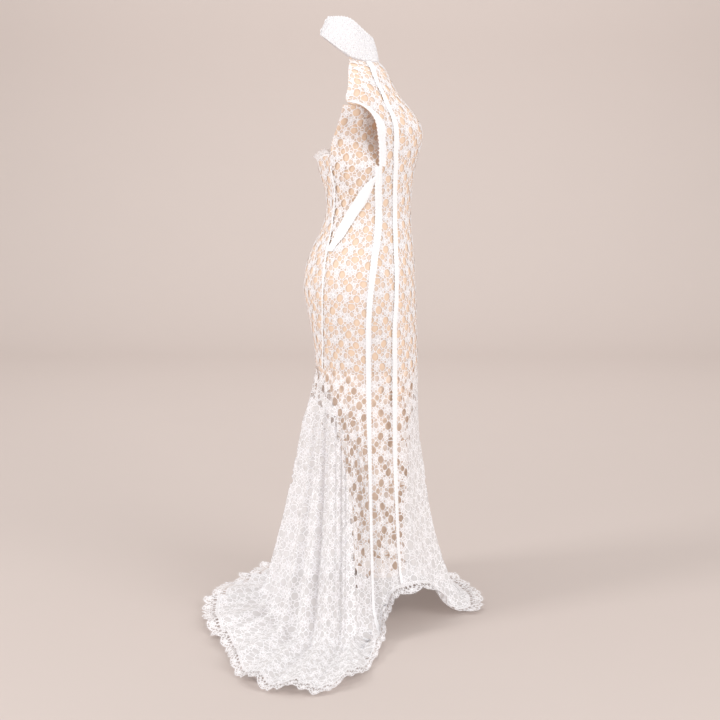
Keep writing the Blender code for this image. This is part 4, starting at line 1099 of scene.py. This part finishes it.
for panel, (skeleton, top_edge) in PANELS.items():
    cloth, border_row = long_panel(panel, skeleton, top_edge)
    upper = cloth.part(0, border_row + 2, cloth.level_row)
    lace = lay_lace(upper, TILE, veiled=True)
    piece = make_piece(f"lace_{panel}_cloth", *lace, LACES, f"lace_{panel}", "lace")
    declare(upper)
    lower = cloth.part(border_row, None)
    count = SCALLOPS[panel.replace("_right", "").replace("_left", "")]
    node = f"hem_border_{panel}"
    piece = make_piece(f"{node}_cloth", *lay_border(lower, count, SCALLOP), LACES, node, "lace")
    declare(lower)


def smooth_cloth(skeleton, surface, top_edge=None, columns=40):
    turns, courses = body_grid(skeleton, columns, top_edge)
    return Cloth(surface(turns, courses))


def mirrored(cloth):
    """The same cloth on the wearer's left, with its columns still in the order of rising turn."""
    flip = np.array((1.0, -1.0, 1.0))
    return Cloth((cloth.points * flip)[:, ::-1] + HOLD, (cloth.base * flip)[:, ::-1], cloth.level_row,
                 (cloth.normals * flip)[:, ::-1])


def both_sides(cloth):
    return (("right", cloth), ("left", mirrored(cloth)))


def edge_trim(cloth, height, lean, count):
    """A small trim with some scallops that stands on a cloth's top edge and leans out."""
    top, out = cloth.points[0], cloth.normals[0]
    up = unit(cloth.points[0] - cloth.points[4])
    rows = [top + up * height * f + out * (lean * f ** 2 + 1 * MM) for f in np.linspace(0, 1, 12)]
    return lay_border(Cloth(np.array(rows) + HOLD), count, SCALLOP)


centre_back = smooth_cloth(centre_back_skeleton(), carrier, back_edge)
piece = make_piece("lace_centre_back_cloth", *lay_lace(centre_back, TILE), LACES, "lace_centre_back", "lace")
trim = edge_trim(centre_back, height=15 * MM, lean=9 * MM, count=9)
trim = make_piece("centre_back_trim", *trim, (TRIM, TRIM, NET, NET), None, "lace")
declare(centre_back)

for side, cloth in both_sides(smooth_cloth(wing_skeleton(), wing)):
    node = f"lace_upper_back_{side}"
    piece = make_piece(f"{node}_cloth", *lay_lace(cloth, TILE), LACES, node, "lace")
    declare(cloth)

# The nude lining inside the lace, and its slip below the knee
LININGS = (
    ("lining_centre_front", front_skeleton(), carrier, neck_edge, LINING_LIFT),
    ("lining_centre_back", centre_back_skeleton(), carrier, back_edge, LINING_LIFT),
    ("lining_side_front", side_front_skeleton(), carrier, neck_edge, LINING_LIFT),
    ("lining_side_back", side_back_skeleton(), carrier, None, LINING_LIFT),
    ("lining_upper_back", wing_skeleton(), wing, None, WING_LINING_LIFT),
)
for name, skeleton, surface, top_edge, lift in LININGS:
    cloth = smooth_cloth(skeleton, surface, top_edge, columns=28)
    sides = [("", cloth)] if "centre" in name else [("_" + side, c) for side, c in both_sides(cloth)]
    for side, c in sides:
        sheet = sheet_of(c, lift)
        piece = make_piece(f"{name}{side}_cloth", *sheet, None, (NUDE,), name + side, "nude_lining")
        declare(c)

SLIP_SEAM = 0.2
SLIP_LIFT = -0.5 * MM
# The slip wears the lining's nude painted lighter, as painted light inside the shaded skirt
for side, start in (("right", 0), ("left", 180)):
    round_half = start + np.linspace(SLIP_SEAM, 180 - SLIP_SEAM, 40)
    turns, heights = np.meshgrid(round_half, np.linspace(SLIP.keys[-1], SLIP.keys[0], 50))
    cloth, node = Cloth(oval(SLIP, turns, heights)), f"slip_{side}"
    piece = make_piece(f"{node}_cloth", *sheet_of(cloth, SLIP_LIFT), None, (SLIP_NUDE_PAINTED_LIGHT,), node, "nude_lining")
    declare(cloth)

# The bands over the seams

# How much of its width the diagonal band has square to its run, how much of the room beside it may be its
# own, the gap between it and the bands beside it, and where and over what height it narrows to its top
SQUARE_SHARE = 0.86
ROOM_SHARE = 0.38
BAND_GAP = 0.3 * MM
DIAGONAL_TOP = 1.162
DIAGONAL_NARROWING = 0.03
DIAGONAL_START = 1.157
# Where along the lowest course a band ends, and how finely bands are drawn
BAND_END_SHARE = 0.985
BAND_STEP = 2.2 * MM
# The scallops along a band: how long and how deep, on the armhole's and on the others
ARMHOLE_SCALLOP = (9.5 * MM, 3.6 * MM)
BAND_SCALLOP = (8.5 * MM, 2.2 * MM)
# A band's raised middle and its twisted threads; a strip with few columns is flatter and lies lower
CROWN, STRIP_CROWN = 0.9 * MM, 0.2 * MM
STRIP_LIFT = BAND_LIFT - 0.7 * MM
STRIP_COLUMNS = 5
TWIST_HEIGHT, TWIST_LENGTH = 0.18 * MM, 3.2 * MM


def band_skeleton(centre, before, after):
    """A band's two edges beside its seam, from how far it reaches to either side."""
    rows = []
    for turn, course in centre:
        scale = spread_at(turn, course)
        rows.append(((turn - before(course) / scale, course), (turn + after(course) / scale, course)))
    return rows


def steady(width):
    return lambda course: width


def room(back_seam, front_seam, height):
    turns = [float(seam_turn(seam, height)) for seam in (back_seam, front_seam)]
    return abs(turns[0] - turns[1]) * spread_at(sum(turns) / 2, height)


def diagonal_half(height):
    slope = (DIAGONAL.at("forward", height + 0.01) - DIAGONAL.at("forward", height - 0.01)) / 0.02
    return float(SQUARE_SHARE * DIAGONAL_BAND_WIDTH / 2 * np.hypot(1, slope))


def diagonal_front(height):
    to_side = room(DIAGONAL, SIDE, height)
    return max(min(diagonal_half(height), ROOM_SHARE * to_side, to_side - SIDE_BAND_WIDTH / 2 - BAND_GAP), MM)


def diagonal_back(height):
    to_back = room(SIDE_BACK, DIAGONAL, height)
    reach = min(diagonal_half(height), ROOM_SHARE * to_back, to_back - BACK_SEAM_WIDTH / 2 - BAND_GAP)
    return max(reach * float(np.clip((DIAGONAL_TOP - height) / DIAGONAL_NARROWING, 0, 1)), MM)


def band_cloth(skeleton, columns, skirt_turn=None, reach=None):
    """The cloth of a band down the body, and on down the skirt where it runs at one turn."""
    turns, courses = body_grid(skeleton, columns, step=BAND_STEP)
    if skirt_turn is not None:
        f = np.linspace(-1, 1, columns)
        levels = np.arange(KNEE - BAND_STEP, FIRST_LOW_COURSE, -BAND_STEP)
        length = FIRST_LOW_COURSE + float(train_length(skirt_turn)) - BORDER_HEIGHT
        shares = np.linspace(0, BAND_END_SHARE, math.ceil(length / BAND_STEP))[1:]
        down = np.concatenate([levels, low_course(skirt_turn, shares)])
        scale = np.array([spread_at(skirt_turn, level) for level in down])
        more = skirt_turn + f[None, :] * reach / scale[:, None]
        low_rows = low_course(more[len(levels):], shares[:, None])
        turns = np.vstack([turns, more])
        courses = np.vstack([courses, np.repeat(levels[:, None], columns, axis=1), low_rows])
    return Cloth(folded(turns, courses))


def build_band(name, cloth):
    """A dense lace band: a raised middle and a scalloped edge on both sides."""
    rows, columns = cloth.points.shape[:2]
    scallop, depth = ARMHOLE_SCALLOP if name.startswith("armhole") else BAND_SCALLOP
    height, lift = (CROWN, BAND_LIFT) if columns > STRIP_COLUMNS else (STRIP_CROWN, STRIP_LIFT)
    steps = np.linalg.norm(np.diff(cloth.points[:, columns // 2], axis=0), axis=-1)
    along = np.concatenate([[0], np.cumsum(steps)])[:, None]
    f = np.linspace(-1, 1, columns)[None, :]
    crown = (1 - f ** 4) * height
    twist = TWIST_HEIGHT * np.sin(2 * math.pi * along / TWIST_LENGTH + 5 * f)
    points = cloth.points + cloth.normals * (lift + crown + twist * (1 - f ** 2))[..., None]
    side = unit(np.gradient(points, axis=1))
    wave = depth * (np.abs(np.sin(math.pi * along / scallop)) - 0.5) * np.sign(f) * (np.abs(f) > 0.99)
    points = points + side * wave[..., None]
    points = points.reshape(-1, 3)
    return make_piece(f"{name}_cloth", points, grid_faces(rows, columns), None, (TRIM,), name, "lace_band")


half = PRINCESS_BAND_WIDTH / 2
top_turn, top_course = princess_points()[0]
seam = [(top_turn, top_course - 2 * MM), *princess_points()[1:]]
princess = band_skeleton(seam, steady(half), steady(half))
side_seam = [on_seam(SIDE, height) for height in BODY_COURSES if height <= UNDERARM]


def side_reach(height):
    """Half of the side band, which narrows from the waist to the hip."""
    return float(np.interp(height, HIP_TO_WAIST, (SIDE_BAND_LOW_REACH, SIDE_BAND_WIDTH / 2 - 1 * MM)))


side_rows = band_skeleton(side_seam, side_reach, side_reach)
bands = {
    "princess_band_right": band_cloth(princess, 8, PRINCESS_TURN, half),
    "princess_band_left": band_cloth(mirror(princess), 8, 360 - PRINCESS_TURN, half),
    "side_band_right": band_cloth(side_rows, 10, SIDE_TURN, SIDE_BAND_LOW_REACH),
    "side_band_left": band_cloth(mirror(side_rows), 10, 360 - SIDE_TURN, SIDE_BAND_LOW_REACH),
}
back_seam = [on_seam(SIDE_BACK, height) for height in BODY_COURSES if height <= UNDERARM]
strip = band_skeleton(back_seam, steady(BACK_SEAM_WIDTH / 2), steady(BACK_SEAM_WIDTH / 2))
diagonal_heights = np.linspace(DIAGONAL_START, DIAGONAL_TIP, 12)
diagonal = band_skeleton([on_seam(DIAGONAL, h) for h in diagonal_heights], diagonal_front, diagonal_back)
armhole = []
for (turn, course), (seam, height) in zip(yoke_edge()[ARMHOLE_START:], princess_points()[ARMHOLE_START:]):
    share = ARMHOLE_BAND_WIDTH / spread_at(turn, course) / (turn - seam)
    armhole.append(((turn - (turn - seam) * share, course + (height - course) * share), (turn, course)))
short_bands = {
    "side_back_strip": (strip, STRIP_COLUMNS),
    "diagonal_band": (diagonal, 16),
    "armhole_band": (armhole, 9),
}
for name, (rows, columns) in short_bands.items():
    for side, cloth in both_sides(band_cloth(rows, columns)):
        bands[f"{name}_{side}"] = cloth
for name, cloth in bands.items():
    piece = build_band(name, cloth)
    declare(cloth)

# The collar

COLLAR_TEETH = 44
TOOTH_DEPTH = 3.2 * MM
COLLAR_BULGE = 2 * MM
COLLAR_OUTSIDE, COLLAR_INSIDE = 1.3 * MM, 0.2 * MM
COLLAR_LACE_SCALE = 0.4
COLLAR_COLUMNS, COLLAR_ROWS = 264, 26


def collar_cloth(lift):
    turns = np.linspace(-180 + COLLAR_BACK_OPENING / 2, 180 - COLLAR_BACK_OPENING / 2, COLLAR_COLUMNS)
    angle = np.radians(turns)
    forward, across = np.cos(angle), np.sin(angle)
    foot_x = COLLAR_MIDDLE + COLLAR_REACH[0] * forward
    top_x = COLLAR_TOP_MIDDLE + COLLAR_TOP_REACH[0] * forward
    foot = np.stack([foot_x, -COLLAR_REACH[1] * across, collar_foot(turns)], axis=-1)
    teeth = np.abs(np.sin(math.pi * np.linspace(0, COLLAR_TEETH, COLLAR_COLUMNS))) ** 0.6
    top_z = COLLAR_TOP.at("height", top_x) + TOOTH_DEPTH * (0.6 - teeth)
    top = np.stack([top_x, -COLLAR_TOP_REACH[1] * across, top_z], axis=-1)
    out = unit(np.stack([forward * COLLAR_REACH[1], -across * COLLAR_REACH[0], 0 * forward], axis=-1))
    f = np.linspace(1, 0, COLLAR_ROWS)[:, None, None]
    return Cloth(foot + (top - foot) * f + out * (COLLAR_BULGE * np.sin(math.pi * f) + lift))


def rim(start, columns, beyond, flip):
    """The quads between two layers along a row of corners."""
    corners = range(start, start + columns - 1)
    quads = [(k, k + 1, k + 1 + beyond, k + beyond) for k in corners]
    return [(b, a, d, c) for a, b, c, d in quads] if flip else quads


outer, inner = collar_cloth(COLLAR_OUTSIDE), collar_cloth(COLLAR_INSIDE)
rows, columns = outer.points.shape[:2]
beyond = rows * columns
layers = np.concatenate([outer.points.reshape(-1, 3), inner.points.reshape(-1, 3)])
faces = grid_faces(rows, columns)
faces = np.vstack([faces, faces[:, ::-1] + beyond, rim(0, columns, beyond, False),
                   rim(beyond - columns, columns, beyond, True)])
collar = make_piece("collar_cloth", layers, faces, None, (COLLAR_GROUND,), "collar", "lace_band")
lace = lay_lace(outer, TILE, scale=COLLAR_LACE_SCALE)
motif = make_piece("collar_lace", *lace, (TRIM, NET, SHEER), None, "lace_band")
outer.width()
outer.length()
min(outer.area(), outer.width() * outer.length())

# The two covered buttons of the collar's closing, each a low dome that looks out and a little up
BUTTON_RINGS, BUTTON_SIDES = 8, 20
BUTTON_FILL = 0.95
BUTTON_HEIGHT, BUTTON_SINK = 2.4 * MM, 1 * MM
BUTTON_TILT = 0.35


def build_button(name):
    low, high = (np.array(corner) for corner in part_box(name))
    middle, radius = (low + high) / 2, (high - low).max() / 2
    out = middle - np.array((COLLAR_MIDDLE, 0, HOLD[2])) + HOLD
    out[2] = BUTTON_TILT * np.linalg.norm(out[:2])
    out = unit(out)
    side = unit(np.cross(out, (0, 0, 1)))
    up = np.cross(side, out)
    points, faces = [], []
    for angle in np.linspace(0, math.pi / 2, BUTTON_RINGS):
        for turn in np.arange(BUTTON_SIDES) * 2 * math.pi / BUTTON_SIDES:
            spoke = side * math.cos(turn) + up * math.sin(turn)
            rise = BUTTON_HEIGHT * math.sin(angle) - BUTTON_SINK
            points.append(middle + radius * BUTTON_FILL * math.cos(angle) * spoke + out * rise)
    for ring in range(BUTTON_RINGS - 1):
        for k in range(BUTTON_SIDES):
            a, b = ring * BUTTON_SIDES + k, ring * BUTTON_SIDES + (k + 1) % BUTTON_SIDES
            faces.append((a, b, b + BUTTON_SIDES, a + BUTTON_SIDES))
    make_piece(f"{name}_cloth", points, faces, None, (TRIM,), name, "lace_band")


build_button("collar_button_upper")
build_button("collar_button_lower")

# The stage, the lights and the camera

FLOOR_Z = -HOLD[2] - 0.3 * MM
STAGE_HALF_WIDTH = 9.0
STAGE_FRONT, STAGE_CURVE_START, STAGE_CURVE, STAGE_TOP = -9.0, 4.4, 1.8, 9.0
PAPER = (0.592, 0.518, 0.484)


def build_stage():
    """A pale floor that curves up into the backdrop."""
    curve = [(STAGE_CURVE_START + STAGE_CURVE * math.sin(a), STAGE_CURVE - STAGE_CURVE * math.cos(a))
             for a in np.linspace(0.1, math.pi / 2, 14)]
    top = (STAGE_CURVE_START + STAGE_CURVE, STAGE_TOP)
    profile = [(STAGE_FRONT, 0.0), (STAGE_CURVE_START, 0.0), *curve, top]
    points = [(x, y, z + FLOOR_Z) for y, z in profile for x in (-STAGE_HALF_WIDTH, STAGE_HALF_WIDTH)]
    faces = [(2 * k, 2 * k + 1, 2 * k + 3, 2 * k + 2) for k in range(len(profile) - 1)]
    mesh = bpy.data.meshes.new("studio_floor")
    mesh.from_pydata(points, [], faces)
    shade = [0.985 * c for c in PAPER]
    paper, _ = two_tones("studio_paper", shade, PAPER, 3.0, 4.0, Roughness=0.95, Specular_IOR_Level=0.1)
    mesh.materials.append(paper)
    mesh.polygons.foreach_set("use_smooth", np.full(len(faces), True))
    floor = bpy.data.objects.new("studio_floor", mesh)
    bpy.context.collection.objects.link(floor)


def add_light(name, place, target, size, power):
    data = bpy.data.lights.new(name, "AREA")
    data.shape = "RECTANGLE"
    data.size, data.size_y = size
    data.energy = power
    light = bpy.data.objects.new(name, data)
    light.location = place
    light.rotation_euler = (Vector(target) - Vector(place)).to_track_quat("-Z", "Y").to_euler()
    bpy.context.collection.objects.link(light)


build_stage()
add_light("key_light", (-3.8, -1.9, 1.0), (0, 0, -0.8), (1.2, 1.2), 95)
add_light("fill_light", (3.0, -3.0, 0.6), (0.4, 0, -0.9), (2.6, 2.6), 88)
add_light("backdrop_light", (0.2, 2.6, 2.8), (0.1, 6.0, 0.2), (5.0, 1.6), 102)
add_light("top_light", (0.3, 0.2, 2.4), (0, 0, -1.0), (2.6, 2.6), 26)

world = bpy.data.worlds.new("studio_air")
bpy.context.scene.world = world
world.use_nodes = True
world.node_tree.nodes["Background"].inputs["Color"].default_value = (1.0, 0.985, 0.97, 1)
world.node_tree.nodes["Background"].inputs["Strength"].default_value = 0.71
bpy.context.scene.view_settings.view_transform = "Standard"

camera_data = bpy.data.cameras.new("photo_camera")
camera_data.sensor_width = 36.0
camera_data.lens = 76.9
camera = bpy.data.objects.new("photo_camera", camera_data)
camera.location = (0.027, -4.0, -0.175)
camera.rotation_euler = (math.radians(90 - 8.96), 0, 0)
bpy.context.collection.objects.link(camera)
bpy.context.scene.camera = camera
